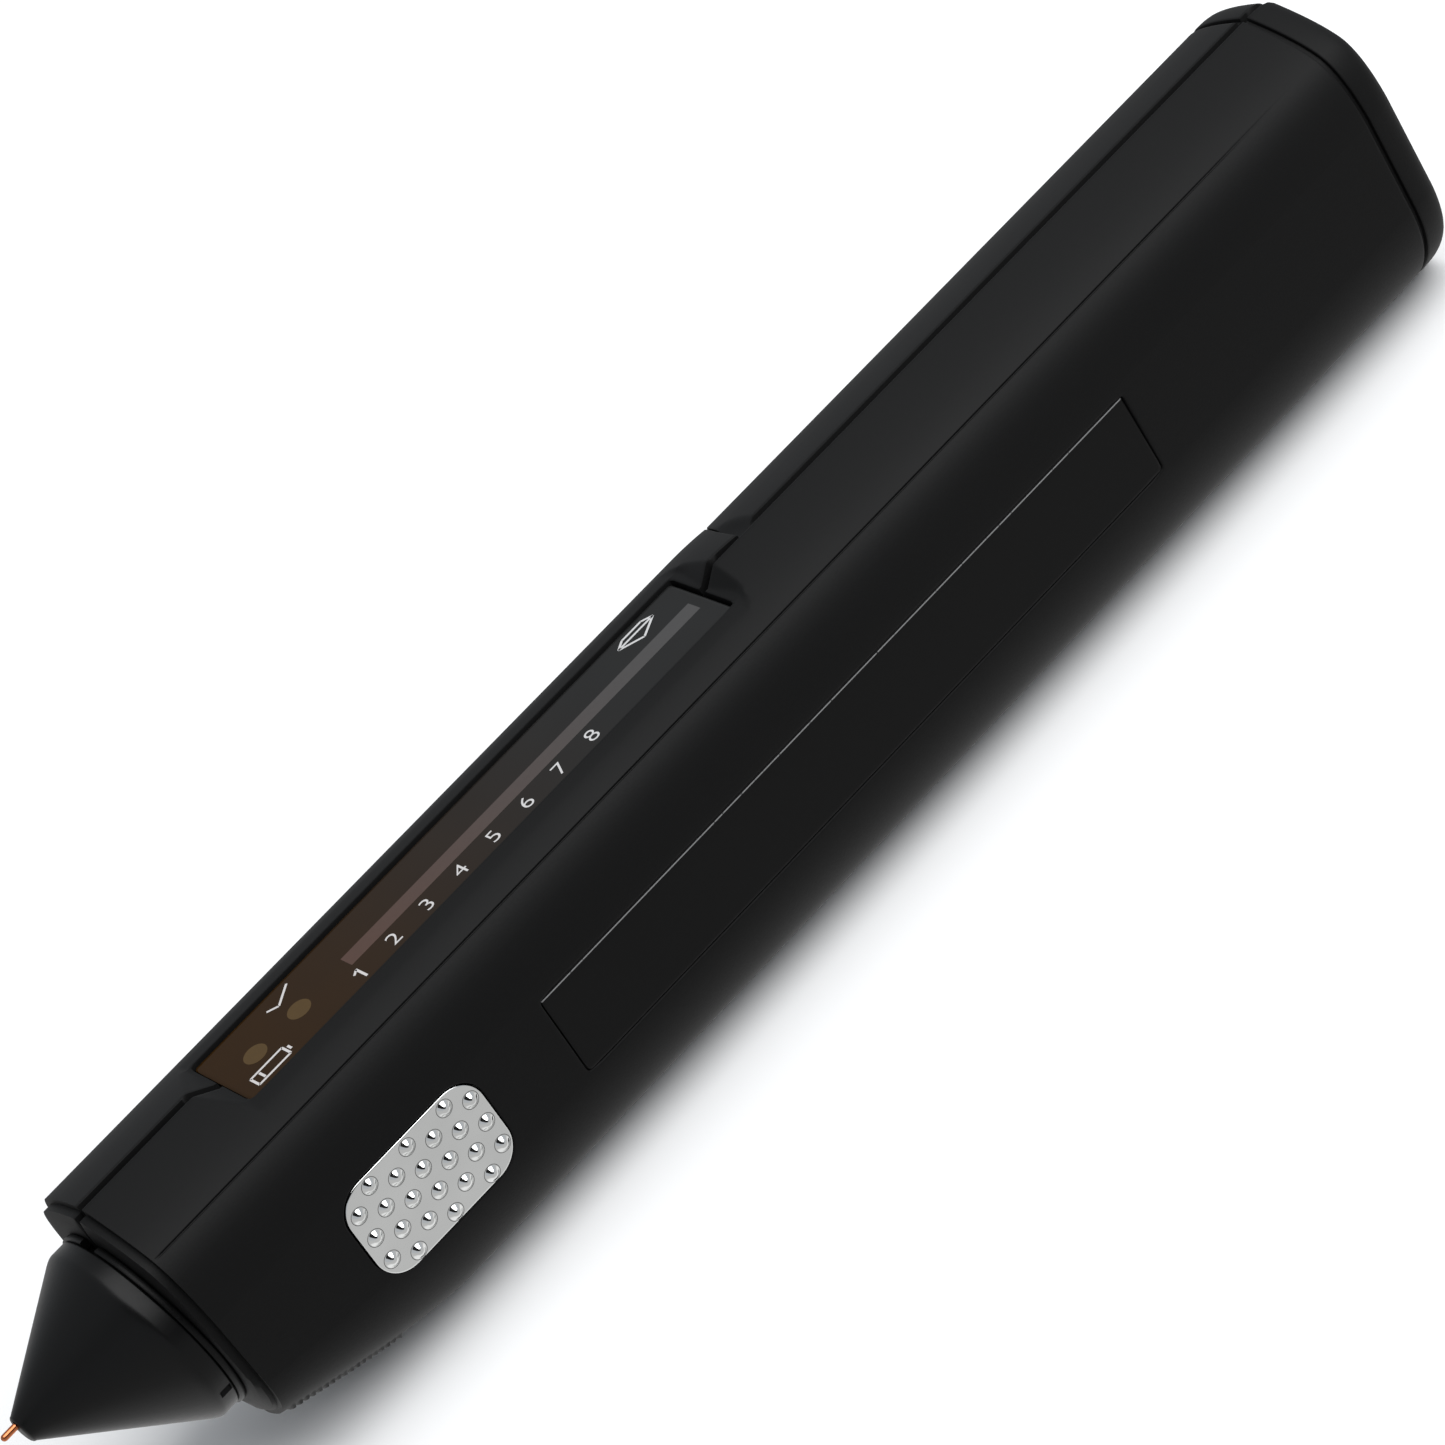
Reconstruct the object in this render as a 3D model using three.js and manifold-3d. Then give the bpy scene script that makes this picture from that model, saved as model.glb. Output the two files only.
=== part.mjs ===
// Thermal diamond tester: a hand-held probe in two moulded halves, with a sliding battery cover.
// Millimetres. X runs rearward from the probe tip, Y to the right-hand side and Z up.
// Heights are given as drops below the ridge of the body, where Z is 0 until the last lines.
import * as THREE from 'three';
import { mergeVertices } from 'three/addons/utils/BufferGeometryUtils.js';
import Module from 'manifold-3d';

const wasm = await Module();
wasm.setup();

// Clearances that all pieces share, and how far a cutter passes the faces that it opens
const seatGap = 0.05;
const slideGap = 0.15;
const openGap = 0.3;
const overrun = 5;

// Two small round cells, one above the other, set the body's section
const cellRadius = 5.25;
const cellLength = 43.3;
const cellNubLength = 1.2;
const cellNubInset = 3.35;
const cellSides = 24;
const cellGap = 0.12;
const cellSideRoom = 3.2;
const cellHeadRoom = 3.78;
const cellY = 1.5;
const cellSag = 0.05;

// Driving sizes of the body
const wall = 1.7;
const bodyHalfWidth = cellRadius + cellSideRoom + wall;
const bodyHeight = 4 * cellRadius + cellGap + cellHeadRoom + 2 * wall;

// Outline of one side of the body, from ridge to belly: share of the half width, share of the height
const ridgeShares = [0, 0];
const crownPullShares = [0.414, 0.0336];
const creaseShares = [0.772, 0.095];
const shoulderPullShares = [0.975, 0.18];
const shoulderShares = [1, 0.325];
const flankFootShares = [0.98, 0.657];
const bellyPullShares = [0.941, 0.89];
const bellyEdgeShares = [0.3, 1];
const crownSteps = 5;
const shoulderSteps = 4;
const bellySteps = 7;

// Nose cone: an oblique cone, then a land, the seat of the split ring, a spigot and its flange
const noseTipX = 1.5;
const noseTipRadius = 1.11;
const noseTipRound = 0.3;
const noseTipSteps = 2;
const noseTipRise = 1.62;
const noseLength = 11.05;
const noseSideStep = 1.34;
const noseCrownStep = 3.22;
const noseShoulder = 0.6;
const noseLandLength = 1.65;
const ringSeatDepth = 0.92;
const ringSeatWidth = 0.55;
const spigotDepth = 1.67;
const flangeLength = 1.2;
const noseSides = 40;
const noseMarkLength = 1.1;
const noseMarkHeight = 0.3;
const noseMarkDepth = 0.35;
const noseMarkFall = 3.4;
const noseBaseX = noseTipX + noseLength;
const noseBaseRadius = bodyHalfWidth - noseSideStep;
const noseDrop = noseBaseRadius + noseCrownStep;
const noseTipDrop = noseDrop - noseTipRise;
const noseLandEnd = noseBaseX + noseLandLength;
const ringSeatRadius = noseBaseRadius - ringSeatDepth;
const ringSeatEnd = noseLandEnd + ringSeatWidth;
const spigotRadius = noseBaseRadius - spigotDepth;
const flangeRadius = bodyHalfWidth - wall - openGap - seatGap;

// Split ring round the nose
const splitRingSetback = 0.06;
const splitRingWidth = 0.43;
const splitRingSink = 0.12;
const splitRingGap = 2.1;
const splitRingSteps = 28;

// Front collar of the halves, which steps in from the body and closes round the nose
const collarGap = 0.15;
const collarLength = 0.9;
const collarStep = 0.6;
const collarChamfer = 0.45;
const collarWall = 1.7;
const collarNarrowShare = 0.6;
const collarFront = ringSeatEnd + collarGap;
const collarLine = collarFront + collarLength;

// Chin: the belly climbs toward the nose, below a level line on the flank
const chinSetback = 18.7;
const chinLength = 17.5;
const chinRise = 4.3;
const chinPivotDrop = 10;
const chinBendShare = 1.4;
const chinSteps = 7;
const chinEnd = collarLine + chinSetback;

// Chin ribs under the nose
const chinRibSetback = 0.7;
const chinRibPitch = 0.62;
const chinRibWidth = 0.32;
const chinRibHeight = 0.25;
const chinRibRoot = 0.5;
const chinRibCount = 18;
const chinRibTopDrop = 17;
const chinRibFrontHalfWidth = 7.2;
const chinRibRearHalfWidth = 5.8;
const chinRibStart = collarLine + chinRibSetback;

// Probe: copper pin on a disc, a plunger with its stem, a guide bush and a spring
const probeRise = 0.64;
const pinRadius = 0.29;
const pinRoundSteps = 3;
const probeBoreRadius = 0.38;
const probeBoreLength = 4.5;
const probeChamberRadius = 2;
const probeTravel = 1;
const discRadius = 1.1;
const discLength = 0.7;
const stemRadius = 0.75;
const guideLength = 3;
const guideSetback = 0.8;
const probeSides = 16;
const probeSpringLength = 2.8;
const probeSpringWire = 0.32;
const probeSpringCurls = 3;
const probeDrop = noseTipDrop - probeRise;
const probeChamberX = noseTipX + probeBoreLength;

// Lean of the front end: the lower a point lies there, the farther rearward it moves
const frontLean = 0.035;

// Display: a trough in the ridge, a tinted window, and the lamps under it
const troughSetback = 13.7;
const troughFrontRamp = 2.4;
const troughRearRamp = 1.7;
const troughDrop = 1.43;
const troughSideRoom = 0.2;
const troughSideSlopeShare = 0.232;
const troughFrontRoom = 0.3;
const troughRearRoom = 0.5;
const windowLength = 53.9;
const windowHalfWidth = 4.1;
const windowCorner = 0.8;
const windowSink = 0.45;
const windowThickness = 1.5;
const windowShelf = 1;
const roofDepth = 4;
const roofMargin = 1.1;
const roofSideRoom = 2.9;
const lightBarSetback = 13.3;
const lightBarWidth = 1.55;
const lampRadius = 1.05;
const lampSides = 20;
const readyLampSetback = 8.2;
const lowBatteryLampSetback = 3.4;
const displayBoardThickness = 1;
const displayBoardSideRoom = 1.5;
const displayBoardMargin = 0.6;
const troughFront = collarLine + troughSetback;
const troughHalfWidth = windowHalfWidth + troughSideRoom;
const windowFront = troughFront + troughFrontRoom;
const windowRear = windowFront + windowLength;
const windowTopDrop = troughDrop + windowSink;
const troughRear = windowRear + troughRearRoom;
const roofFront = troughFront - troughFrontRamp - roofMargin;
const roofRear = troughRear + troughRearRamp + roofMargin;
const roofHalfWidth = windowHalfWidth + roofSideRoom;
const lightBarFront = windowFront + lightBarSetback;
const lightBarRear = windowRear - windowShelf - slideGap;
const readyLampX = windowFront + readyLampSetback;
const lowBatteryLampX = windowFront + lowBatteryLampSetback;
const displayBoardHalfWidth = windowHalfWidth + displayBoardSideRoom;

// Contact pads on both flanks
const padSetback = 12.4;
const padLength = 14.7;
const padMiddleShare = 0.4947;
const padHeightShare = 0.3357;
const padCorner = 2.7;
const padProud = 0.12;
const padFlange = 1;
const padFlangeThickness = 0.6;
const bumpRadius = 0.615;
const bumpHeight = 0.35;
const bumpFrontMargin = 1.05;
const bumpRearMargin = 1.38;
const bumpSideMargin = 1.08;
const bumpRows = 7;
const bumpRowCount = 4;
const bumpSides = 6;
const bumpRings = 4;
const padFront = collarLine + padSetback;
const padHeight = padHeightShare * bodyHeight;
const padMiddleDrop = padMiddleShare * bodyHeight;
const padTopDrop = padMiddleDrop - padHeight / 2;
const bumpPitch = (padLength - bumpFrontMargin - bumpRearMargin) / (bumpRowCount - 1);
const bumpRowStep = (padHeight - 2 * bumpSideMargin) / (bumpRows - 1);

// Label plate, let into the left flank
const labelSetback = 7.7;
const labelLength = 68.3;
const labelSag = 0.2;
const labelHeightShare = 0.2897;
const labelThickness = 0.3;
const labelCorner = 0.5;
const labelFront = padFront + padLength + labelSetback;
const labelRear = labelFront + labelLength;
const labelHeight = labelHeightShare * bodyHeight;
const labelTopDrop = padMiddleDrop + labelSag - labelHeight / 2;
const labelBottomDrop = labelTopDrop + labelHeight;

// Battery cover with its arc front edge, thumb scoop and tongue
const bridgeLength = 3.4;
const coverArcRadius = 28;
const coverSink = 0.2;
const coverWall = 1.6;
const coverEdgeGap = 0.25;
const coverArcSteps = 20;
const scoopY = 2.6;
const scoopDepth = 0.8;
const scoopRadius = 3;
const scoopHalfWidth = 8;
const scoopRoll = 0.3;
const scoopSides = 24;
const scoopRings = 12;
const tongueReach = 2.2;
const tongueRoot = 1.4;
const tongueThickness = 0.75;
const tongueWidth = 2.2;
const tongueSideRoom = 3.55;
const coverFront = troughRear + troughRearRamp + bridgeLength;
const tongueOuterY = bodyHalfWidth - tongueSideRoom;
const tongueInnerY = tongueOuterY - tongueWidth;

// Main board with its ledges, switch, buzzer and contact fingers
const boardSetback = 6.2;
const boardEndRoom = 1.3;
const boardEdgeRoom = 0.35;
const boardRise = 1;
const boardThickness = 1.2;
const ledgeLength = 6;
const ledgeHeight = 1.4;
const ledgeOverlap = 0.5;
const middleLedgeSetback = 26;
const rearLedgeSetback = 8;
const buzzerSetback = 16;
const buzzerRadius = 4.8;
const buzzerHeight = 3.8;
const buzzerSides = 28;
const fingerWidth = 3;
const fingerThickness = 0.25;
const fingerFoot = 2.6;
const fingerRise = 2.4;
const boardFront = collarLine + boardSetback;
const boardRear = coverFront - boardEndRoom;
const boardDrop = padMiddleDrop - boardRise;
const frontLedgeX = padFront - padFlange - openGap - ledgeLength;
const middleLedgeX = boardRear - middleLedgeSetback;
const rearLedgeX = boardRear - rearLedgeSetback;
const buzzerX = boardRear - buzzerSetback;

// Power button on the right flank
const buttonSetback = 11.1;
const buttonBoardRoom = 0.1;
const buttonLength = 8;
const buttonHeight = 4;
const buttonProud = 0.25;
const buttonFlange = 0.8;
const buttonFlangeThickness = 0.6;
const buttonTravel = 0.5;
const switchLength = 6;
const switchDepth = 3;
const switchHeadRoom = 0.4;
const switchNubRadius = 0.9;
const switchNubLength = 0.9;
const buttonX = padFront + padLength + buttonSetback;
const buttonDrop = boardDrop - buttonBoardRoom - buttonFlange - buttonHeight / 2;

// Battery cradle with the cells' contacts and springs, held to the left half by two screws
const cradleSetback = 2.7;
const cradleEndWall = 3;
const cradleRearWall = 2.3;
const cradleTongueRoom = 0.9;
const cradleBackReach = 3;
const contactThickness = 0.4;
const contactSideInset = 1.75;
const contactEndInset = 1.25;
const cellSpringRoom = 7.8;
const springWire = 0.5;
const springWideInset = 1.65;
const springNarrowInset = 2.95;
const springCurls = 4;
const screwFrontSetback = 16;
const screwRearSetback = 14.3;
const screwHeadRadius = 1.6;
const screwHeadLength = 1;
const screwRadius = 0.8;
const screwBite = 0.6;
const screwHeadY = 4.3;
const screwSides = 16;
const cellMiddleDrop = bodyHeight / 2 + cellSag;
const cradleFront = coverFront + cradleSetback;
const cradleReach = tongueInnerY - cradleTongueRoom;
const contactFront = cradleFront + cradleEndWall;
const frontContactFace = contactFront + contactThickness;
const cellNubFront = frontContactFace + slideGap;
const contactRear = cellNubFront + cellNubLength + cellLength + cellSpringRoom + slideGap;
const cradleRear = contactRear + cradleRearWall;
const screwFrontX = cradleFront + screwFrontSetback;
const screwRearX = cradleRear - screwRearSetback;
const contactHalfWidth = cellRadius - contactSideInset;
const contactHalfHeight = cellRadius - contactEndInset;

// Rounded rear end and the ring groove ahead of it
const endRoom = 4.1;
const endRoundLength = 3;
const endRoundDepth = 1.8;
const endDome = 0.15;
const endSteps = 5;
const ringGrooveSetback = 0.35;
const ringGrooveWidth = 0.36;
const ringGrooveDepth = 0.35;
const overallLength = cradleRear + endRoom;
const endRoundStart = overallLength - endDome - endRoundLength;
const ringGrooveX = endRoundStart - ringGrooveSetback;

// Seam between the halves: a gap all through, and a wider shadow groove on the outside
const seamGap = 0.3;
const seamGrooveWidth = 0.78;
const seamGrooveDepth = 0.85;

// Lip of the left half, which closes the seam from inside
const lipSink = 0.25;
const lipThickness = 0.7;
const lipReach = 0.9;
const lipFoot = 2;

// Steps round a coil, round its wire and round a corner of an outline
const coilSteps = 8;
const coilSides = 5;
const cornerSteps = 5;

// Finishes, in the colours of the real pieces
function finish(color, roughness, metalness) {
  return new THREE.MeshStandardMaterial({ color, roughness, metalness });
}

const blackPlastic = finish(0x1c1d1e, 0.42, 0);
const smokedPlastic = finish(0x2a2522, 0.08, 0);
const silver = finish(0xbebfbe, 0.22, 1);
const steel = finish(0x9a9c9e, 0.35, 1);
const copper = finish(0xc86e46, 0.25, 1);
const brass = finish(0xb89a4e, 0.35, 1);
const circuitGreen = finish(0x1f4a33, 0.55, 0);
const paleLamp = finish(0xd9dcd6, 0.3, 0);
const cellJacket = finish(0x3f4347, 0.4, 0.1);

// Basic solids

const tau = Math.PI * 2;

function signedVolume(positions, index) {
  const corner = (i) => new THREE.Vector3().fromArray(positions, index[i] * 3);
  let sum = 0;
  for (let i = 0; i < index.length; i += 3) {
    sum += corner(i).dot(corner(i + 1).cross(corner(i + 2)));
  }
  return sum;
}

// Turns a closed three.js geometry into a solid whose faces point out
function solid(geometry) {
  const plain = geometry.clone();
  plain.deleteAttribute('normal');
  plain.deleteAttribute('uv');
  const merged = mergeVertices(plain, seatGap / 100);
  const positions = merged.attributes.position.array;
  const source = merged.index.array;
  const index = [];
  for (let i = 0; i < source.length; i += 3) {
    const [a, b, c] = [source[i], source[i + 1], source[i + 2]];
    if (a !== b && b !== c && c !== a) index.push(a, b, c);
  }
  if (signedVolume(positions, index) < 0) index.reverse();
  return new wasm.Manifold(new wasm.Mesh({
    numProp: 3,
    vertProperties: Float32Array.from(positions),
    triVerts: Uint32Array.from(index),
  }));
}

function block(x0, x1, y0, y1, z0, z1) {
  const box = new THREE.BoxGeometry(x1 - x0, y1 - y0, z1 - z0);
  return solid(box.translate((x0 + x1) / 2, (y0 + y1) / 2, (z0 + z1) / 2));
}

// A shape drawn in X and Y, raised from one height to another
function raised(shape, z0, z1, curveSegments = cornerSteps) {
  const body = new THREE.ExtrudeGeometry(shape, { depth: z1 - z0, bevelEnabled: false, curveSegments });
  return solid(body.translate(0, 0, z0));
}

// A shape drawn in X and Z, run from one Y to another
function sideways(shape, y0, y1, curveSegments = cornerSteps) {
  const body = new THREE.ExtrudeGeometry(shape, { depth: y1 - y0, bevelEnabled: false, curveSegments });
  return solid(body.rotateX(Math.PI / 2).translate(0, y1, 0));
}

// A shape drawn in Y and Z, run from one X to another
function lengthways(shape, x0, x1, curveSegments = cornerSteps) {
  const body = new THREE.ExtrudeGeometry(shape, { depth: x1 - x0, bevelEnabled: false, curveSegments });
  return solid(body.rotateX(Math.PI / 2).rotateZ(Math.PI / 2).translate(x0, 0, 0));
}

// A profile of [x, radius] pairs, turned about a line along X
function turned(profile, sides, y, z) {
  const points = profile.map(([x, radius]) => new THREE.Vector2(radius, x));
  const body = new THREE.LatheGeometry(points, sides);
  return solid(body.rotateZ(-Math.PI / 2).translate(0, y, z));
}

// A plain round bar along X
function bar(x0, x1, radius, sides, y, z) {
  return turned([[x0, 0], [x0, radius], [x1, radius], [x1, 0]], sides, y, z);
}

function roundedRectangle(x0, x1, y0, y1, radius) {
  const shape = new THREE.Shape();
  shape.moveTo(x0 + radius, y0);
  shape.lineTo(x1 - radius, y0);
  shape.absarc(x1 - radius, y0 + radius, radius, -Math.PI / 2, 0);
  shape.absarc(x1 - radius, y1 - radius, radius, 0, Math.PI / 2);
  shape.absarc(x0 + radius, y1 - radius, radius, Math.PI / 2, Math.PI);
  shape.absarc(x0 + radius, y0 + radius, radius, Math.PI, Math.PI * 1.5);
  return shape;
}

// A skin over rings of equal count, closed at each end round a middle point
function loft(rings, frontX, rearX) {
  const count = rings[0].length;
  const middle = (ring, x) => {
    const point = ring.reduce((sum, p) => sum.add(p), new THREE.Vector3()).divideScalar(count);
    return point.setX(x);
  };
  const last = rings.length - 1;
  const points = [...rings.flat(), middle(rings[0], frontX), middle(rings[last], rearX)];
  const at = (ring, i) => ring * count + (i % count);
  const index = [];
  for (let i = 0; i < count; i += 1) {
    for (let ring = 0; ring < last; ring += 1) {
      index.push(at(ring, i), at(ring + 1, i), at(ring, i + 1));
      index.push(at(ring, i + 1), at(ring + 1, i), at(ring + 1, i + 1));
    }
    index.push(at(0, i + 1), rings.length * count, at(0, i));
    index.push(at(last, i), rings.length * count + 1, at(last, i + 1));
  }
  const geometry = new THREE.BufferGeometry().setFromPoints(points);
  geometry.setIndex(index);
  return solid(geometry);
}

// One unbroken wire coiled about a line along X, with the turn's radius at each end
function coil(x0, x1, radius0, radius1, wire, curls, y, z) {
  const wireRadius = wire / 2;
  const start = x0 + wireRadius;
  const run = x1 - x0 - wire;
  const steps = curls * coilSteps;
  const centre = (step) => {
    const share = step / steps;
    const angle = share * curls * tau;
    const radius = THREE.MathUtils.lerp(radius0, radius1, share);
    const [across, up] = [radius * Math.cos(angle), radius * Math.sin(angle)];
    return new THREE.Vector3(start + run * share, y + across, z + up);
  };
  const axis = new THREE.Vector3(1, 0, 0);
  const rings = [];
  for (let step = 0; step <= steps; step += 1) {
    const angle = (step / steps) * curls * tau;
    const outward = new THREE.Vector3(0, Math.cos(angle), Math.sin(angle));
    const ring = [];
    for (let side = 0; side < coilSides; side += 1) {
      const turn = (side / coilSides) * tau;
      const point = centre(step).addScaledVector(outward, wireRadius * Math.cos(turn));
      ring.push(point.addScaledVector(axis, wireRadius * Math.sin(turn)));
    }
    rings.push(ring);
  }
  const count = coilSides;
  const points = [...rings.flat(), centre(0), centre(steps)];
  const index = [];
  for (let side = 0; side < count; side += 1) {
    const next = (side + 1) % count;
    for (let step = 0; step < steps; step += 1) {
      const [a, b] = [step * count, (step + 1) * count];
      index.push(a + side, b + side, a + next, a + next, b + side, b + next);
    }
    index.push(next, rings.length * count, side);
    index.push(steps * count + side, rings.length * count + 1, steps * count + next);
  }
  const geometry = new THREE.BufferGeometry().setFromPoints(points);
  geometry.setIndex(index);
  console.log('least gap of a coil to itself', coilGap(centre, steps, wire).toFixed(3));
  return solid(geometry);
}

// Least space between turns, measured on the wire's middle line
function coilGap(centre, steps, wire) {
  let least = Infinity;
  for (let i = 0; i <= steps; i += 1) {
    for (let j = i + coilSteps / 2; j <= steps; j += 1) {
      least = Math.min(least, centre(i).distanceTo(centre(j)) - wire);
    }
  }
  return least;
}

// Body form

const outlinePoint = ([wide, deep]) => new THREE.Vector2(wide * bodyHalfWidth, deep * bodyHeight);

// Right-hand side of the body's section, ridge to belly, as (y, drop)
function sideOutline() {
  const bend = (from, pull, to, steps) => new THREE.QuadraticBezierCurve(
    outlinePoint(from), outlinePoint(pull), outlinePoint(to),
  ).getPoints(steps);
  return [
    ...bend(ridgeShares, crownPullShares, creaseShares, crownSteps),
    ...bend(creaseShares, shoulderPullShares, shoulderShares, shoulderSteps).slice(1),
    ...bend(flankFootShares, bellyPullShares, bellyEdgeShares, bellySteps),
  ];
}

// The same outline moved inward square to itself; the mirrored side gives the end points their neighbours
function insetOutline(inset) {
  const side = sideOutline();
  const mirrored = (point) => new THREE.Vector2(-point.x, point.y);
  const around = [mirrored(side[1]), ...side, mirrored(side[side.length - 1])];
  return side.map((point, i) => {
    const before = point.clone().sub(around[i]).normalize();
    const after = around[i + 2].clone().sub(point).normalize();
    const inward = before.clone().add(after).normalize();
    const half = inward.dot(after);
    return new THREE.Vector2(point.x - (inward.y * inset) / half, point.y + (inward.x * inset) / half);
  });
}

const chinLift = (x) => chinRise * Math.max(0, (chinEnd - x) / chinLength) ** chinBendShare;

// A full ring of the body at one x, moved inward by an inset
function bodyRing(x, inset) {
  const lifted = insetOutline(inset).map((point) => {
    const below = Math.max(0, point.y - chinPivotDrop) / (bodyHeight - chinPivotDrop);
    return new THREE.Vector3(x, point.x, -(point.y - chinLift(x) * below));
  });
  lifted[0].y = 0;
  const mirrored = lifted.slice(1).reverse().map((point) => new THREE.Vector3(x, -point.y, point.z));
  return [...lifted, ...mirrored];
}

// Flank half width at a drop between shoulder and foot
function flankAt(drop) {
  const [shoulder, foot] = [outlinePoint(shoulderShares), outlinePoint(flankFootShares)];
  return THREE.MathUtils.mapLinear(drop, shoulder.y, foot.y, shoulder.x, foot.x);
}

// Nearest that the flank's inner face comes to the middle plane beside the pads and the button
function flankInner() {
  return flankAt(padTopDrop + padHeight) - wall - openGap;
}

const boardHalfWidth = flankInner() - padFlangeThickness - boardEdgeRoom;

// Stations from the chin to the rear end, as [x, own inset], for a form lying inset inside the body
function rearStations(inset) {
  const stations = [];
  const grooveFront = ringGrooveX - ringGrooveWidth / 2;
  const grooveRear = ringGrooveX + ringGrooveWidth / 2;
  stations.push([grooveFront, 0], [grooveFront, ringGrooveDepth]);
  stations.push([grooveRear, ringGrooveDepth], [grooveRear, 0]);
  const length = endRoundLength - inset;
  const depth = Math.max(endRoundDepth - inset, seatGap);
  for (let step = 0; step <= endSteps; step += 1) {
    const turn = (step / endSteps) * (Math.PI / 2);
    stations.push([endRoundStart + length * Math.sin(turn), depth * (1 - Math.cos(turn))]);
  }
  return stations;
}

const chinStations = (front) => Array.from(
  { length: chinSteps + 1 },
  (_, step) => [THREE.MathUtils.lerp(front, chinEnd, step / chinSteps), 0],
);

// The body's outer form, or a form that lies inset inside it
function bodyForm(inset) {
  const rings = [collarRing(collarFront + inset, inset, 1)];
  rings.push(collarRing(collarFront + inset + collarChamfer, inset, 0));
  rings.push(bodyRing(collarLine + inset, collarStep + inset));
  const stations = [...chinStations(collarLine + inset), ...rearStations(inset)];
  rings.push(...stations.map(([x, own]) => bodyRing(x, own + inset)));
  return loft(rings, collarFront + inset, overallLength - inset);
}

// A ring of the collar, drawn in toward the round nose by a share of the way at its front edge
function collarRing(x, inset, narrow) {
  const ring = bodyRing(x, collarStep + inset);
  const centre = new THREE.Vector3(x, 0, -noseDrop);
  return ring.map((point) => {
    const reach = point.distanceTo(centre);
    const round = centre.clone().lerp(point, Math.min(1, (noseBaseRadius + openGap) / reach));
    return point.clone().lerp(round, narrow * collarNarrowShare);
  });
}

// The hollow inside the halves, with a thick roof left round the display
function cavity(inset) {
  const front = collarFront + collarWall;
  const rear = rearStations(inset).filter(([, own]) => own !== ringGrooveDepth);
  const stations = [...chinStations(front), ...rear];
  const end = endRoundStart + endRoundLength - inset;
  const hollow = loft(stations.map(([x, own]) => bodyRing(x, own + inset)), front, end);
  return hollow.subtract(block(roofFront, roofRear, -roofHalfWidth, roofHalfWidth, -roofDepth, overrun));
}

// A thin slab on the seam plane, long and tall enough to pass the body
function seamSlab(width) {
  const [front, rear] = [-overrun, overallLength + overrun];
  return block(front, rear, -width / 2, width / 2, -bodyHeight - overrun, overrun);
}

const seamGroove = (sink) => seamSlab(seamGrooveWidth).subtract(bodyForm(seamGrooveDepth + sink));

// Everything on one side of the seam plane
function sideOfSeam(side) {
  const [near, far] = [seamGap / 2, bodyHalfWidth + overrun];
  const [y0, y1] = side < 0 ? [-far, -near] : [near, far];
  return block(-overrun, overallLength + overrun, y0, y1, -bodyHeight - overrun, overrun);
}

// Region of the battery cover, seen from above: everything behind an arc that bulges forward
function coverRegion(shift) {
  const reach = bodyHalfWidth + overrun;
  const sweep = Math.asin(reach / coverArcRadius);
  const rear = overallLength + overrun;
  const shape = new THREE.Shape();
  shape.moveTo(rear, -reach);
  shape.lineTo(rear, reach);
  shape.absarc(coverFront + coverArcRadius + shift, 0, coverArcRadius, Math.PI - sweep, Math.PI + sweep);
  return raised(shape, -bodyHeight - overrun, overrun, coverArcSteps);
}

// Fine ribs across the chin, which stand on the body and narrow toward the rear
function chinRibs() {
  const rear = chinRibStart + chinRibCount * chinRibPitch;
  const stations = Array.from({ length: chinSteps + 1 }, (_, i) => (
    THREE.MathUtils.lerp(chinRibStart - chinRibPitch, rear + chinRibPitch, i / chinSteps)
  ));
  const skin = (inset) => loft(stations.map((x) => bodyRing(x, inset)), stations[0], stations[chinSteps]);
  const band = skin(-chinRibHeight).subtract(skin(chinRibRoot));
  const plan = new THREE.Shape();
  plan.moveTo(chinRibStart, -chinRibFrontHalfWidth);
  plan.lineTo(rear, -chinRibRearHalfWidth);
  plan.lineTo(rear, chinRibRearHalfWidth);
  plan.lineTo(chinRibStart, chinRibFrontHalfWidth);
  const field = band.intersect(raised(plan, -bodyHeight - overrun, -chinRibTopDrop));
  let comb = null;
  for (let i = 0; i < chinRibCount; i += 1) {
    const x = chinRibStart + (i + 0.5) * chinRibPitch - chinRibWidth / 2;
    const slice = block(x, x + chinRibWidth, -bodyHalfWidth, bodyHalfWidth, -bodyHeight, 0);
    comb = comb ? comb.add(slice) : slice;
  }
  return field.intersect(comb);
}

// Cutters and additions of the halves

function noseBore() {
  const rear = collarFront + collarWall + slideGap;
  return bar(noseLandEnd, rear, spigotRadius + openGap, noseSides, 0, -noseDrop);
}

// Ramped trough in the ridge: a flat floor with sides that fall away to the crown
function displayTrough() {
  const reach = bodyHalfWidth;
  const sideDrop = troughDrop + (reach - troughHalfWidth) * troughSideSlopeShare;
  const ring = (x, lift) => [
    [reach, overrun], [reach, lift - sideDrop], [troughHalfWidth, lift - troughDrop],
    [-troughHalfWidth, lift - troughDrop], [-reach, lift - sideDrop], [-reach, overrun],
  ].map(([y, z]) => new THREE.Vector3(x, y, z));
  const front = troughFront - troughFrontRamp - troughFrontRamp;
  const rear = troughRear + troughRearRamp + troughRearRamp;
  const rings = [
    ring(front, troughDrop + troughDrop), ring(troughFront, 0), ring(troughRear, 0),
    ring(rear, troughDrop + troughDrop),
  ];
  return loft(rings, front, rear);
}

function windowOutline(grow) {
  const half = windowHalfWidth + grow;
  const corner = windowCorner + Math.min(grow, 0) / 2;
  return roundedRectangle(windowFront - grow, windowRear + grow, -half, half, corner);
}

function windowPocket() {
  const seat = raised(windowOutline(slideGap), -windowTopDrop - windowThickness - seatGap, overrun);
  return seat.add(raised(windowOutline(-windowShelf), -roofDepth - overrun, 0));
}

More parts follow.
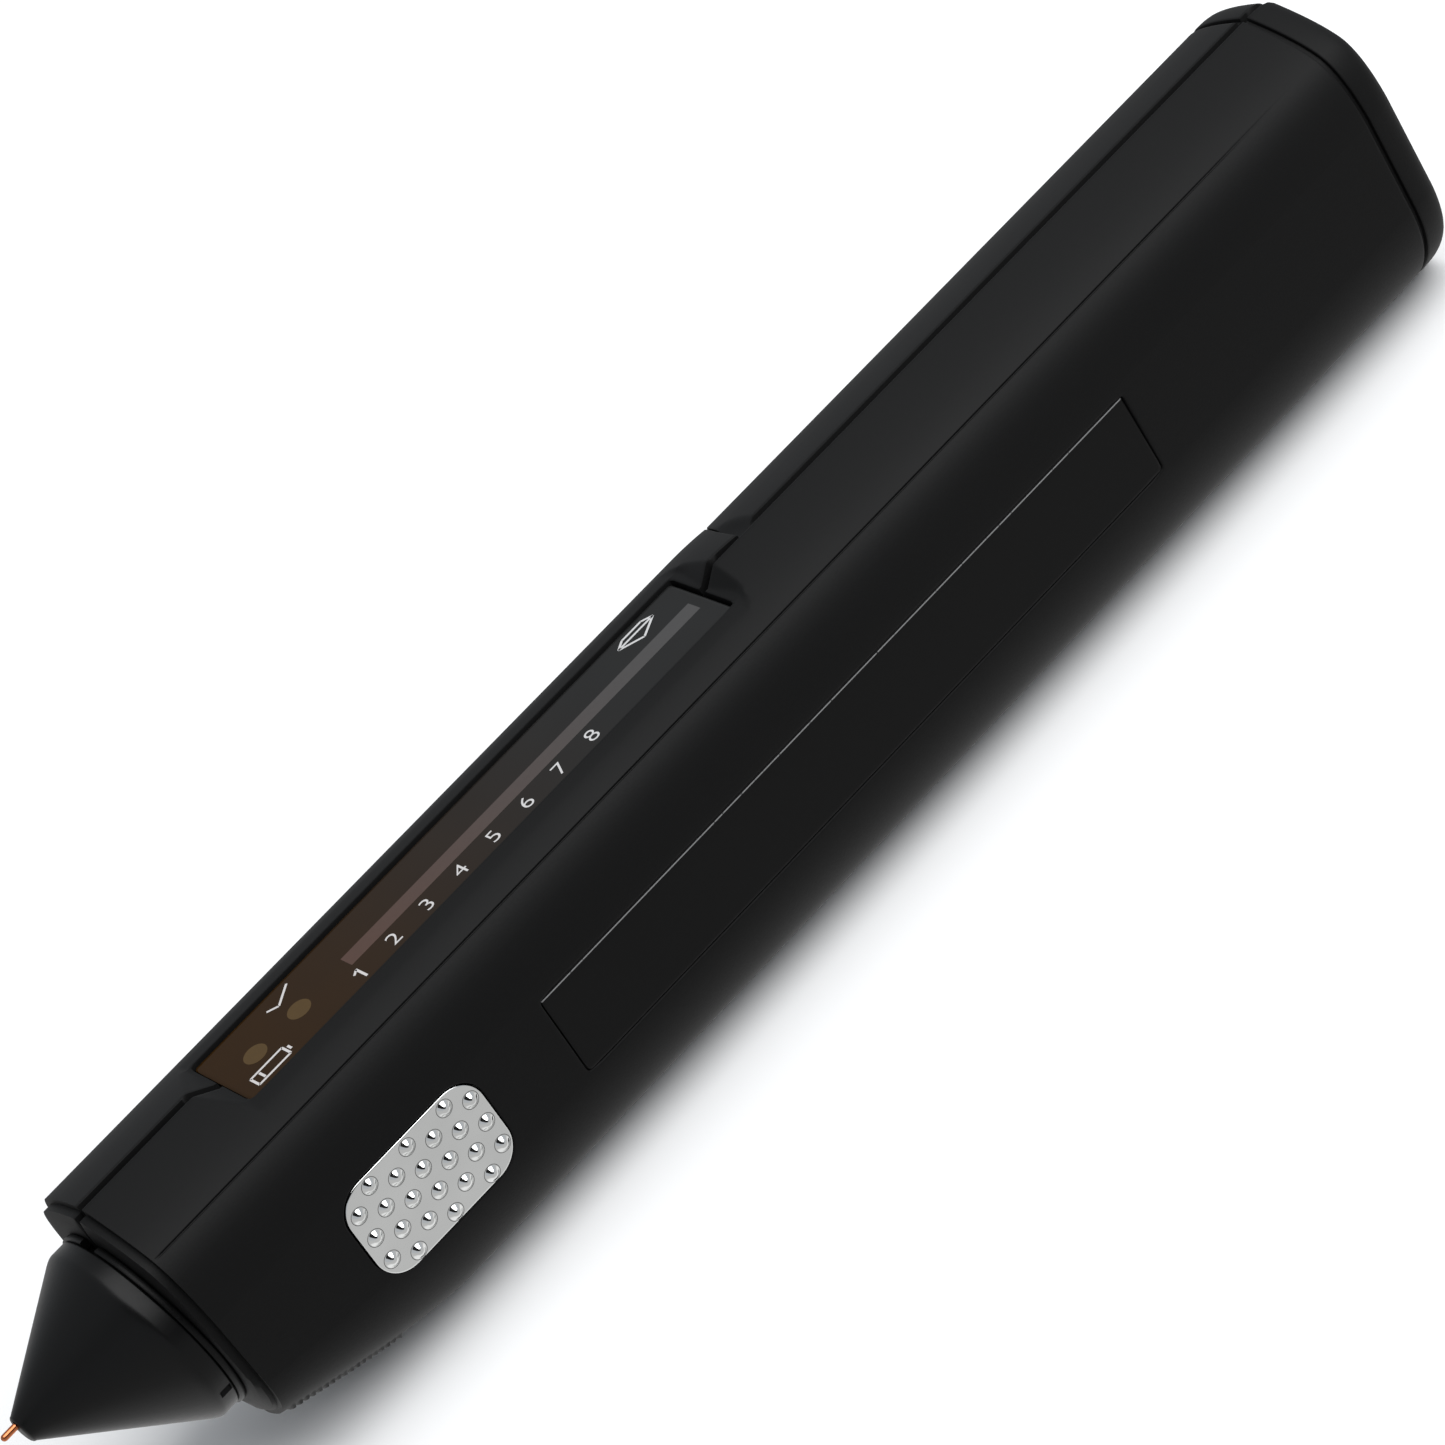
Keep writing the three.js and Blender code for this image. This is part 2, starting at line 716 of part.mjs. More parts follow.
function padOutline(grow) {
  const [x0, x1] = [padFront - grow, padFront + padLength + grow];
  return roundedRectangle(x0, x1, -padTopDrop - padHeight - grow, -padTopDrop + grow, padCorner + grow);
}

function padOpening(side) {
  const [y0, y1] = side < 0 ? [-bodyHalfWidth - overrun, 0] : [0, bodyHalfWidth + overrun];
  return sideways(padOutline(slideGap), y0, y1, cornerSteps);
}

const labelFace = flankAt(labelBottomDrop);

const labelOutline = (grow) => roundedRectangle(
  labelFront - grow, labelRear + grow, -labelBottomDrop - grow, -labelTopDrop + grow, labelCorner + grow,
);

function labelRecess() {
  const floor = -labelFace + labelThickness + seatGap;
  return sideways(labelOutline(slideGap), -bodyHalfWidth - overrun, floor, cornerSteps);
}

function buttonOutline(grow) {
  const [halfLength, half] = [buttonLength / 2 + grow, buttonHeight / 2 + grow];
  const [front, rear] = [buttonX - halfLength, buttonX + halfLength];
  return roundedRectangle(front, rear, -buttonDrop - half, -buttonDrop + half, half - seatGap);
}

const buttonOpening = () => sideways(buttonOutline(slideGap), 0, bodyHalfWidth + overrun, cornerSteps);

function thumbScoop() {
  const form = new THREE.SphereGeometry(1, scoopSides, scoopRings);
  form.scale(scoopRadius, scoopHalfWidth, scoopRadius);
  form.rotateX(-scoopRoll);
  return solid(form.translate(coverFront, scoopY, scoopRadius - scoopDepth - crownDropAt(scoopY)));
}

// Drop of the crown at a distance from the ridge, read from the outline
function crownDropAt(y) {
  const side = sideOutline();
  const next = side.findIndex((point) => point.x > y);
  const [a, b] = [side[next - 1], side[next]];
  return THREE.MathUtils.mapLinear(y, a.x, b.x, a.y, b.y);
}

// Ledges that carry the main board on the inner walls of both halves
function boardLedges() {
  const top = -boardDrop - boardThickness - seatGap;
  const inner = boardHalfWidth - ledgeOverlap;
  const outer = bodyHalfWidth - wall + slideGap;
  const ledge = (x, side) => {
    const [y0, y1] = side < 0 ? [-outer, -inner] : [inner, outer];
    return block(x, x + ledgeLength, y0, y1, top - ledgeHeight, top);
  };
  const pairs = [frontLedgeX, middleLedgeX, rearLedgeX].map((x) => ledge(x, -1).add(ledge(x, 1)));
  return pairs.reduce((all, pair) => all.add(pair));
}

function screwHoles() {
  const tip = -bodyHalfWidth + wall - screwBite - seatGap;
  const hole = (x) => crossBar(x, tip, 0, screwRadius + slideGap, screwSides);
  return hole(screwFrontX).add(hole(screwRearX));
}

// A round bar along Y at the level between the cells
function crossBar(x, y0, y1, radius, sides) {
  const form = new THREE.CylinderGeometry(radius, radius, y1 - y0, sides);
  return solid(form.translate(x, (y0 + y1) / 2, -cellMiddleDrop));
}

// Band of the lip between the seam's two sides, from one inset to another
function lipBand(outer, inner, y0, y1) {
  const front = spigotEnd + flangeLength + openGap;
  const band = bodyForm(outer).subtract(bodyForm(inner));
  const run = block(front, cradleRear, y0, y1, -bodyHeight, 0);
  const roof = block(roofFront - openGap, roofRear + openGap, y0, y1, -roofDepth - openGap, 0);
  return band.intersect(run).subtract(roof);
}

function seamLip() {
  const inner = wall + lipSink + lipThickness;
  const foot = lipBand(wall - openGap, inner, -lipFoot, -seamGap / 2);
  return foot.add(lipBand(wall + lipSink, inner, -lipFoot, lipReach));
}

// Moulded halves

const ledges = boardLedges().intersect(bodyForm(wall / 2));
const shell = bodyForm(0).subtract(cavity(wall)).add(chinRibs()).add(ledges);
const seam = seamSlab(seamGap).add(seamGroove(0));
const frontCuts = noseBore().add(displayTrough()).add(windowPocket()).add(seam);

function leftHousing() {
  const half = shell.intersect(sideOfSeam(-1));
  return half.subtract(frontCuts).subtract(padOpening(-1)).subtract(labelRecess())
    .subtract(screwHoles()).add(seamLip());
}

function rightHousing() {
  const half = shell.intersect(sideOfSeam(1)).subtract(coverRegion(-coverEdgeGap));
  return half.subtract(frontCuts).subtract(padOpening(1)).subtract(buttonOpening());
}

// A tongue of the cover, which hooks under the edge of the right half at the crown
function coverTongue() {
  const run = (front, rear, inset) => loft([bodyRing(front, inset), bodyRing(rear, inset)], front, rear);
  const rear = coverFront + tongueReach + tongueRoot;
  const top = wall + openGap;
  const [before, beyond] = [coverFront - overrun, coverFront + overrun];
  const root = run(coverFront, rear, coverSink + coverWall - slideGap).intersect(coverRegion(0));
  const reach = run(coverFront - tongueReach, rear, top);
  const under = run(before, beyond, top + tongueThickness);
  const strip = block(before, beyond, tongueInnerY, tongueOuterY, -bodyHeight / 2, 0);
  return reach.add(root).subtract(under).intersect(strip);
}

function batteryCover() {
  const skin = bodyForm(coverSink).subtract(cavity(coverSink + coverWall));
  const half = skin.intersect(sideOfSeam(1)).intersect(coverRegion(0));
  return half.subtract(seamGroove(coverSink)).subtract(thumbScoop()).add(coverTongue());
}

const labelPlate = () => sideways(labelOutline(0), -labelFace, -labelFace + labelThickness, cornerSteps);

// Nose

function circleRing(x, drop, radius) {
  return Array.from({ length: noseSides }, (_, i) => {
    const angle = (i / noseSides) * tau;
    return new THREE.Vector3(x, radius * Math.cos(angle), radius * Math.sin(angle) - drop);
  });
}

const spigotEnd = collarFront + collarWall + openGap;

function noseCone() {
  const widen = (noseBaseRadius - noseTipRadius) / (noseBaseX - noseTipX);
  const rim = noseTipRadius - noseTipRound;
  const back = noseShoulder / noseLength;
  const shoulderRadius = noseBaseRadius - widen * noseShoulder;
  const shoulder = [noseBaseX - noseShoulder, noseDrop - noseTipRise * back, shoulderRadius];
  const blunt = Array.from({ length: noseTipSteps + 1 }, (_, step) => {
    const turn = (step / noseTipSteps) * (Math.PI / 2);
    const radius = rim + (1 + widen) * noseTipRound * Math.sin(turn);
    return circleRing(noseTipX + noseTipRound * (1 - Math.cos(turn)), noseTipDrop, radius);
  });
  const rings = [
    ...blunt,
    circleRing(...shoulder),
    circleRing(noseBaseX + noseShoulder / 2, noseDrop, noseBaseRadius),
    circleRing(noseLandEnd, noseDrop, noseBaseRadius),
    circleRing(noseLandEnd, noseDrop, ringSeatRadius),
    circleRing(ringSeatEnd, noseDrop, ringSeatRadius),
    circleRing(ringSeatEnd, noseDrop, spigotRadius),
    circleRing(spigotEnd, noseDrop, spigotRadius),
    circleRing(spigotEnd, noseDrop, flangeRadius),
    circleRing(spigotEnd + flangeLength, noseDrop, flangeRadius),
  ];
  const form = loft(rings, noseTipX, spigotEnd + flangeLength);
  const hole = (x0, x1, radius) => bar(x0, x1 + overrun, radius, probeSides, 0, -probeDrop);
  const bore = hole(0, probeChamberX, probeBoreRadius);
  const chamber = hole(probeChamberX, spigotEnd + flangeLength, probeChamberRadius);
  return form.subtract(bore).subtract(chamber).subtract(noseMarks());
}

// A short axial mark let into the land on each side
function noseMarks() {
  const middle = (noseBaseX + noseLandEnd) / 2;
  const y = Math.sqrt(noseBaseRadius ** 2 - noseMarkFall ** 2);
  const lean = Math.asin(noseMarkFall / noseBaseRadius);
  const mark = (side) => {
    const form = new THREE.BoxGeometry(noseMarkLength, noseMarkDepth * 2, noseMarkHeight);
    return solid(form.rotateX(-side * lean).translate(middle, side * y, -noseDrop - noseMarkFall));
  };
  return mark(-1).add(mark(1));
}

function splitRing() {
  const inner = ringSeatRadius + openGap;
  const outer = noseBaseRadius - splitRingSink;
  const half = Math.asin(splitRingGap / 2 / outer);
  const [from, to] = [Math.PI / 2 + half, Math.PI / 2 - half + tau];
  const shape = new THREE.Shape();
  shape.absarc(0, 0, outer, from, to, false);
  shape.absarc(0, 0, inner, to, from, true);
  const front = noseLandEnd + splitRingSetback;
  const ring = lengthways(shape, front, front + splitRingWidth, splitRingSteps);
  return ring.translate([0, 0, -noseDrop]);
}

// Probe

const discFront = probeChamberX + seatGap;
const plungerFront = discFront + discLength + seatGap;
const guideRear = spigotEnd + flangeLength - guideSetback;
const guideFront = guideRear - guideLength;
const plungerRear = guideFront - probeTravel - probeSpringLength - 2 * seatGap;

function probeTip() {
  const profile = [[0, 0]];
  for (let step = 1; step <= pinRoundSteps; step += 1) {
    const turn = (step / pinRoundSteps) * (Math.PI / 2);
    profile.push([pinRadius * (1 - Math.cos(turn)), pinRadius * Math.sin(turn)]);
  }
  const rear = discFront + discLength;
  profile.push([discFront, pinRadius], [discFront, discRadius], [rear, discRadius], [rear, 0]);
  return turned(profile, probeSides, 0, -probeDrop);
}

function probePlunger() {
  const head = probeChamberRadius - slideGap;
  const profile = [
    [plungerFront, 0], [plungerFront, head], [plungerRear, head], [plungerRear, stemRadius],
    [guideRear, stemRadius], [guideRear, 0],
  ];
  return turned(profile, probeSides, 0, -probeDrop);
}

function probeGuide() {
  const [inner, outer] = [stemRadius + slideGap, probeChamberRadius - seatGap];
  const bush = bar(guideFront, guideRear, outer, probeSides, 0, -probeDrop);
  return bush.subtract(bar(guideFront - overrun, guideRear + overrun, inner, probeSides, 0, -probeDrop));
}

// The spring keeps its pressed length, so that the plunger can travel back to it
function probeSpring() {
  const radius = (stemRadius + probeChamberRadius) / 2;
  const front = plungerRear + probeTravel + seatGap;
  const rear = guideFront - seatGap;
  return coil(front, rear, radius, radius, probeSpringWire, probeSpringCurls, 0, -probeDrop);
}

// Display

const windowFootDrop = windowTopDrop + windowThickness;
const displayBoardDrop = roofDepth + slideGap;

const displayWindow = () => raised(windowOutline(0), -windowFootDrop, -windowTopDrop);

const lightBar = () => block(
  lightBarFront, lightBarRear, -lightBarWidth / 2, lightBarWidth / 2,
  -displayBoardDrop + seatGap, -windowFootDrop - slideGap,
);

function lamp(x) {
  const [top, foot] = [windowFootDrop + slideGap, displayBoardDrop - seatGap];
  const form = new THREE.CylinderGeometry(lampRadius, lampRadius, foot - top, lampSides);
  return solid(form.rotateX(Math.PI / 2).translate(x, 0, -(top + foot) / 2));
}

function displayBoard() {
  const [front, rear] = [windowFront + displayBoardMargin, windowRear - displayBoardMargin];
  const foot = displayBoardDrop + displayBoardThickness;
  return block(front, rear, -displayBoardHalfWidth, displayBoardHalfWidth, -foot, -displayBoardDrop);
}

// Main board and what stands on it

const boardFoot = boardDrop + boardThickness;

function mainBoard() {
  return block(boardFront, boardRear, -boardHalfWidth, boardHalfWidth, -boardFoot, -boardDrop);
}

function buzzer() {
  const form = new THREE.CylinderGeometry(buzzerRadius, buzzerRadius, buzzerHeight, buzzerSides);
  return solid(form.rotateX(Math.PI / 2).translate(buzzerX, 0, -boardFoot - seatGap - buzzerHeight / 2));
}

const switchFace = flankInner() - buttonFlangeThickness - buttonTravel - seatGap;

function powerSwitch() {
  const rear = switchFace - switchNubLength;
  const [x0, x1] = [buttonX - switchLength / 2, buttonX + switchLength / 2];
  const top = -buttonDrop + switchNubRadius + switchHeadRoom;
  const body = block(x0, x1, rear - switchDepth, rear, -boardDrop + seatGap, top);
  const run = switchNubLength + seatGap;
  const form = new THREE.CylinderGeometry(switchNubRadius, switchNubRadius, run, probeSides);
  return body.add(solid(form.translate(buttonX, rear + (switchNubLength - seatGap) / 2, -buttonDrop)));
}

function powerButton() {
  const face = flankInner();
  const outer = flankAt(buttonDrop) + buttonProud;
  const cap = sideways(buttonOutline(0), face - seatGap, outer, cornerSteps);
  return cap.add(sideways(buttonOutline(buttonFlange), face - buttonFlangeThickness, face, cornerSteps));
}

// Contact pads

const padFace = flankAt(padTopDrop) + padProud;

function bumpPlaces() {
  const places = [];
  for (let row = 0; row < bumpRows; row += 1) {
    const full = row % 2;
    const shift = full ? 0 : bumpPitch / 2;
    const drop = padMiddleDrop + (row - (bumpRows - 1) / 2) * bumpRowStep;
    for (let i = 0; i < bumpRowCount - 1 + full; i += 1) {
      places.push([padFront + bumpFrontMargin + shift + i * bumpPitch, drop]);
    }
  }
  return places;
}

function contactPad(side) {
  const face = flankInner();
  let pad = sideways(padOutline(0), face - seatGap, padFace, cornerSteps);
  pad = pad.add(sideways(padOutline(padFlange), face - padFlangeThickness, face, cornerSteps));
  for (const [x, drop] of bumpPlaces()) {
    const bump = new THREE.SphereGeometry(1, bumpSides, bumpRings).rotateX(Math.PI / bumpSides);
    bump.scale(bumpRadius, bumpHeight, bumpRadius);
    pad = pad.add(solid(bump.translate(x, padFace - seatGap, -drop)));
  }
  return side < 0 ? pad.mirror([0, 1, 0]) : pad;
}

// A bent strip that stands on the board and bears on the back of a pad
function padFinger(side) {
  const touch = flankInner() - padFlangeThickness - seatGap;
  const foot = -boardDrop + seatGap;
  const heel = boardHalfWidth - fingerThickness;
  const top = foot + fingerRise;
  const crest = foot + fingerRise / 2 + fingerThickness;
  const shape = new THREE.Shape();
  shape.moveTo(heel - fingerFoot, foot);
  shape.lineTo(heel, foot);
  shape.lineTo(touch, crest);
  shape.lineTo(heel, top);
  shape.lineTo(heel - fingerThickness, top - fingerThickness / 2);
  shape.lineTo(touch - fingerThickness, crest);
  shape.lineTo(heel - fingerThickness, foot + fingerThickness);
  shape.lineTo(heel - fingerFoot, foot + fingerThickness);
  const middle = padFront + padLength / 2;
  const finger = lengthways(shape, middle - fingerWidth / 2, middle + fingerWidth / 2);
  return side < 0 ? finger.mirror([0, 1, 0]) : finger;
}

// Batteries and cradle

const cellStep = cellRadius + cellGap / 2;
const upperCellDrop = cellMiddleDrop - cellStep;
const lowerCellDrop = cellMiddleDrop + cellStep;
const cellNubRear = contactRear - slideGap;
const cellNubRadius = cellRadius - cellNubInset;
const springWideRadius = cellRadius - springWideInset;
const springNarrowRadius = cellRadius - springNarrowInset;

// A round cell with its nub at the front or at the rear
function cell(nubAtFront, drop) {
  const length = cellLength + cellNubLength;
  const start = nubAtFront ? cellNubFront : cellNubRear - length;
  const profile = [
    [0, 0], [0, cellNubRadius], [cellNubLength, cellNubRadius], [cellNubLength, cellRadius],
    [length, cellRadius], [length, 0],
  ].map(([x, radius]) => [nubAtFront ? start + x : start + length - x, radius]);
  return turned(profile, cellSides, cellY, -drop);
}

function cellSpring(atFront) {
  const run = atFront
    ? [frontContactFace + seatGap, cellNubRear - cellLength - cellNubLength - seatGap]
    : [cellNubFront + cellLength + cellNubLength + seatGap, contactRear - seatGap];
  const radii = [springWideRadius, springNarrowRadius];
  if (!atFront) radii.reverse();
  const drop = atFront ? lowerCellDrop : upperCellDrop;
  return coil(...run, ...radii, springWire, springCurls, cellY, -drop);
}

const contactPlate = (x, topDrop, bottomDrop) => block(
  x, x + contactThickness, cellY - contactHalfWidth, cellY + contactHalfWidth, -bottomDrop, -topDrop,
);

function frontContact(drop) {
  return contactPlate(contactFront, drop - contactHalfHeight, drop + contactHalfHeight);
}

function rearBridge() {
  return contactPlate(contactRear, upperCellDrop - contactHalfHeight, lowerCellDrop + contactHalfHeight);
}

function batteryCradle() {
  const inset = wall + openGap;
  const form = loft([bodyRing(cradleFront, inset), bodyRing(cradleRear, inset)], cradleFront, cradleRear);
  const [bayFront, bayRear] = [contactFront - seatGap, contactRear + contactThickness + seatGap];
  const side = (front, rear, y) => block(front, rear, y, bodyHalfWidth, -bodyHeight, 0);
  const open = side(cradleFront - overrun, cradleRear + overrun, cradleReach);
  const bay = side(bayFront, bayRear, -cradleBackReach);
  const channel = (drop) => bar(bayFront, bayRear, cellRadius + slideGap, cellSides, cellY, -drop);
  const head = (x) => crossBar(x, -screwHeadY - seatGap, cellY, screwHeadRadius + slideGap, screwSides);
  const lipInner = wall + lipSink + lipThickness + openGap;
  const lipRoom = lipBand(wall, lipInner, -lipFoot - openGap, lipReach + openGap);
  return form.subtract(open).subtract(bay).subtract(channel(upperCellDrop)).subtract(channel(lowerCellDrop))
    .subtract(head(screwFrontX)).subtract(head(screwRearX)).subtract(screwHoles()).subtract(lipRoom);
}

function cradleScrew(x) {
  const tip = -bodyHalfWidth + wall - screwBite;
  const shank = crossBar(x, tip, -screwHeadY + seatGap, screwRadius, screwSides);
  return shank.add(crossBar(x, -screwHeadY, -screwHeadY + screwHeadLength, screwHeadRadius, screwSides));
}

// Assembly

// The form with its front end leaned, in full up to the nose's flange and not at all from the pads on
function leaned(form) {
  const full = spigotEnd + flangeLength + openGap;
  const none = padFront - padFlange - openGap;
  return form.warp((point) => {
    const share = THREE.MathUtils.clamp((none - point[0]) / (none - full), 0, 1);
    point[0] -= frontLean * share * (point[2] + probeDrop);
  });
}

// A mesh with flat facets, each vertex in its own triangle
function mesh(name, form, material) {
  const data = leaned(form).getMesh();
  const points = [];
  for (const vertex of data.triVerts) {
    points.push(new THREE.Vector3().fromArray(data.vertProperties, vertex * data.numProp));
  }
  const geometry = new THREE.BufferGeometry().setFromPoints(points);
  geometry.computeVertexNormals();
  const piece = new THREE.Mesh(geometry, material);
  piece.name = name;
  return piece;
}

function group(...pieces) {
  const all = new THREE.Group();
  all.add(...pieces);
  return all;
}

const casing = group(
  mesh('left_housing', leftHousing(), blackPlastic),
  mesh('right_housing', rightHousing(), blackPlastic),
  mesh('battery_cover', batteryCover(), blackPlastic),
  mesh('side_label_plate', labelPlate(), blackPlastic),
);

const nose = group(
  mesh('nose_cone', noseCone(), blackPlastic),
  mesh('nose_ring', splitRing(), blackPlastic),
  mesh('probe_guide', probeGuide(), brass),
  mesh('probe_spring', probeSpring(), steel),
  mesh('probe_plunger', probePlunger(), brass),
  mesh('probe_tip', probeTip(), copper),
);

const display = group(
  mesh('display_window', displayWindow(), smokedPlastic),
  mesh('light_bar', lightBar(), paleLamp),
  mesh('ready_lamp', lamp(readyLampX), paleLamp),
  mesh('low_battery_lamp', lamp(lowBatteryLampX), paleLamp),
  mesh('display_board', displayBoard(), circuitGreen),
);

const electronics = group(
  mesh('main_board', mainBoard(), circuitGreen),
  mesh('buzzer', buzzer(), blackPlastic),
  mesh('power_switch', powerSwitch(), blackPlastic),
  mesh('power_button', powerButton(), blackPlastic),
  mesh('left_contact_pad', contactPad(-1), silver),
  mesh('right_contact_pad', contactPad(1), silver),
  mesh('left_pad_finger', padFinger(-1), steel),
  mesh('right_pad_finger', padFinger(1), steel),
);

const batteryBay = group(
  mesh('battery_cradle', batteryCradle(), blackPlastic),
  mesh('upper_battery', cell(true, upperCellDrop), cellJacket),
  mesh('lower_battery', cell(false, lowerCellDrop), cellJacket),
  mesh('upper_battery_spring', cellSpring(false), steel),
  mesh('lower_battery_spring', cellSpring(true), steel),
  mesh('upper_front_contact', frontContact(upperCellDrop), steel),
  mesh('lower_front_contact', frontContact(lowerCellDrop), steel),
  mesh('rear_contact_bridge', rearBridge(), steel),
  mesh('front_cradle_screw', cradleScrew(screwFrontX), steel),
  mesh('rear_cradle_screw', cradleScrew(screwRearX), steel),
);

const tester = group(casing, nose, display, electronics, batteryBay);

// The origin is under the middle of the tester, on the surface that the belly rests on
tester.position.set(-overallLength / 2, 0, bodyHeight);

export default tester;
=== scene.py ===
"""Dressed scene of the thermal diamond tester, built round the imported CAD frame.

Shapes are worked out in the tester's own millimetres: x runs rearward from the
probe tip, y to the right-hand side, and drop is the depth below the ridge.
`placed` turns them into the frame's metres.
"""

import logging
import math
from collections.abc import Callable, Sequence
from dataclasses import dataclass, field
from enum import Enum

import bmesh
import bpy
import numpy as np
from mathutils import Matrix, Vector


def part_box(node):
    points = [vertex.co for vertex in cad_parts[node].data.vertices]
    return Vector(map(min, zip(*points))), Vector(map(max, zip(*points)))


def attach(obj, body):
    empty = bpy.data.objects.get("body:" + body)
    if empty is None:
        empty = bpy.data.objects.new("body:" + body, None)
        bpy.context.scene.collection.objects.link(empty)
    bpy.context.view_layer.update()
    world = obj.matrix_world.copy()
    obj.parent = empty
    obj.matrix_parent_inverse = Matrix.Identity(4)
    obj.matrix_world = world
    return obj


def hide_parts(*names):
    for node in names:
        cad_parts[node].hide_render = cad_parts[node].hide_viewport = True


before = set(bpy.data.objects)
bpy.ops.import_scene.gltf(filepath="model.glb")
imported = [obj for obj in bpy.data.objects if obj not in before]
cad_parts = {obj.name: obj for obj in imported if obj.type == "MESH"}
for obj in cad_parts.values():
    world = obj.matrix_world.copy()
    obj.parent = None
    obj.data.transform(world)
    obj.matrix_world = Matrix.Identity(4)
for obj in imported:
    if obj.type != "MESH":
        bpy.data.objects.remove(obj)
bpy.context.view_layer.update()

LOG = logging.getLogger("tester")
Array = np.ndarray
Span = tuple[float, float]
Triple = tuple[float, float, float]
Material = bpy.types.Material
Height = float | Callable[[Array, Array], Array]

MM = 0.001
BODY_HEIGHT = 28.3
TIP_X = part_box("probe_tip")[0].x / MM
SEAM_HALF = 0.15
MERGE = 2e-7
SLACK = 0.01
LEAN = 0.035
LEAN_ZONE = (18.4, 26.9)
LEAN_DROP = 9.77
SHARP = math.radians(38)


def placed(points: Array) -> Array:
    """Turns (x, y, drop) in millimetres into the frame's metres.

    The front end leans: x grows by the lean times the depth below the probe, in
    full ahead of the lean's zone and not at all behind it.

    Args:
        points: array whose last axis holds x, y and drop.

    Returns:
        The same points as X, Y, Z in metres.
    """
    x, y, drop = points[..., 0], points[..., 1], points[..., 2]
    share = np.clip((LEAN_ZONE[1] - x) / (LEAN_ZONE[1] - LEAN_ZONE[0]), 0, 1)
    x = x + LEAN * share * (drop - LEAN_DROP)
    return np.stack([x + TIP_X, y, BODY_HEIGHT - drop], -1) * MM


def ruled(marks: Sequence[float], widest: float, zones: Sequence[Triple] = ()) -> Array:
    """Grid lines through all marks, with more between them where a gap is wide.

    Args:
        marks: places that need a line.
        widest: widest gap outside the zones.
        zones: (start, end, widest gap) of finer stretches.

    Returns:
        Sorted line places.
    """
    closest, slack = 0.012, 0.001
    ends = [value for zone in zones for value in zone[:2]]
    low, high = min(marks), max(marks)
    places = sorted({round(m, 4) for m in [*marks, *ends] if low <= m <= high})
    kept = [places[0]]
    kept += [b for a, b in zip(places, places[1:]) if b - a > closest]
    lines: list[float] = []
    for a, b in zip(kept, kept[1:]):
        step = min([widest, *(w for lo, hi, w in zones if b > lo + slack and a < hi - slack)])
        count = max(1, math.ceil((b - a) / step - SLACK))
        lines.extend(np.linspace(a, b, count, endpoint=False))
    return np.array([*lines, kept[-1]])


@dataclass(frozen=True)
class MouldedEdge:
    """The small round along an edge: distances from the edge, and depths below the face."""

    foot: float = 0.08
    near: float = 0.05
    far: float = 0.14
    clear: float = 0.3
    depth: float = 0.07
    near_depth: float = 0.025

    def lines(self, edge: float, outward: int) -> list[float]:
        """Grid lines for a recess: foot of the wall, edge, and the round.

        Args:
            edge: place of the edge.
            outward: 1 where the surface lies past the edge, -1 where before it.

        Returns:
            Line places.
        """
        return [edge + outward * step for step in (-self.foot, 0.0, self.near, self.far, self.clear)]

    def around(self, span: Span) -> list[float]:
        """Grid lines for a recess between two edges."""
        return self.lines(span[0], -1) + self.lines(span[1], 1)

    def within(self, span: Span) -> list[float]:
        """Grid lines for a raised face between two edges."""
        steps = (0.0, self.near, self.far, self.clear)
        return [span[0] + step for step in steps] + [span[1] - step for step in steps]

    def sunk(self, distance: Array, depth: float) -> Array:
        """Depth of a recess from the distance to its edge, with the edge rounded.

        Args:
            distance: signed distance, positive outside.
            depth: full depth, reached at the foot of the wall.

        Returns:
            Depth at each point.
        """
        places = [-self.foot, 0.0, self.near, self.far]
        return np.interp(distance, places, [depth, self.depth, self.near_depth, 0.0])


EDGE = MouldedEdge()


@dataclass(frozen=True)
class Mesh:
    """Points in tester millimetres with the faces over them."""

    points: Array
    faces: Array

    def mirrored(self) -> "Mesh":
        """The same mesh on the other side of the seam plane."""
        return Mesh(self.points * np.array([1.0, -1.0, 1.0]), self.faces[:, ::-1])


def joined(*parts: Mesh) -> Mesh:
    """One mesh from several, each face index moved past the points before it.

    Args:
        parts: the meshes.

    Returns:
        The joined mesh.
    """
    starts = np.cumsum([0, *(len(p.points) for p in parts[:-1])])
    points = np.concatenate([p.points for p in parts])
    return Mesh(points, np.concatenate([p.faces + s for p, s in zip(parts, starts)]))


def grid_faces(rows: int, columns: int) -> Array:
    """Corner numbers of each cell of a grid of points.

    Args:
        rows: number of rows of points.
        columns: number of points in a row.

    Returns:
        Corner numbers, (rows-1, columns-1, 4).
    """
    i, j = np.meshgrid(np.arange(rows - 1), np.arange(columns - 1), indexing="ij")
    a = i * columns + j
    return np.stack([a, a + 1, a + columns + 1, a + columns], -1)


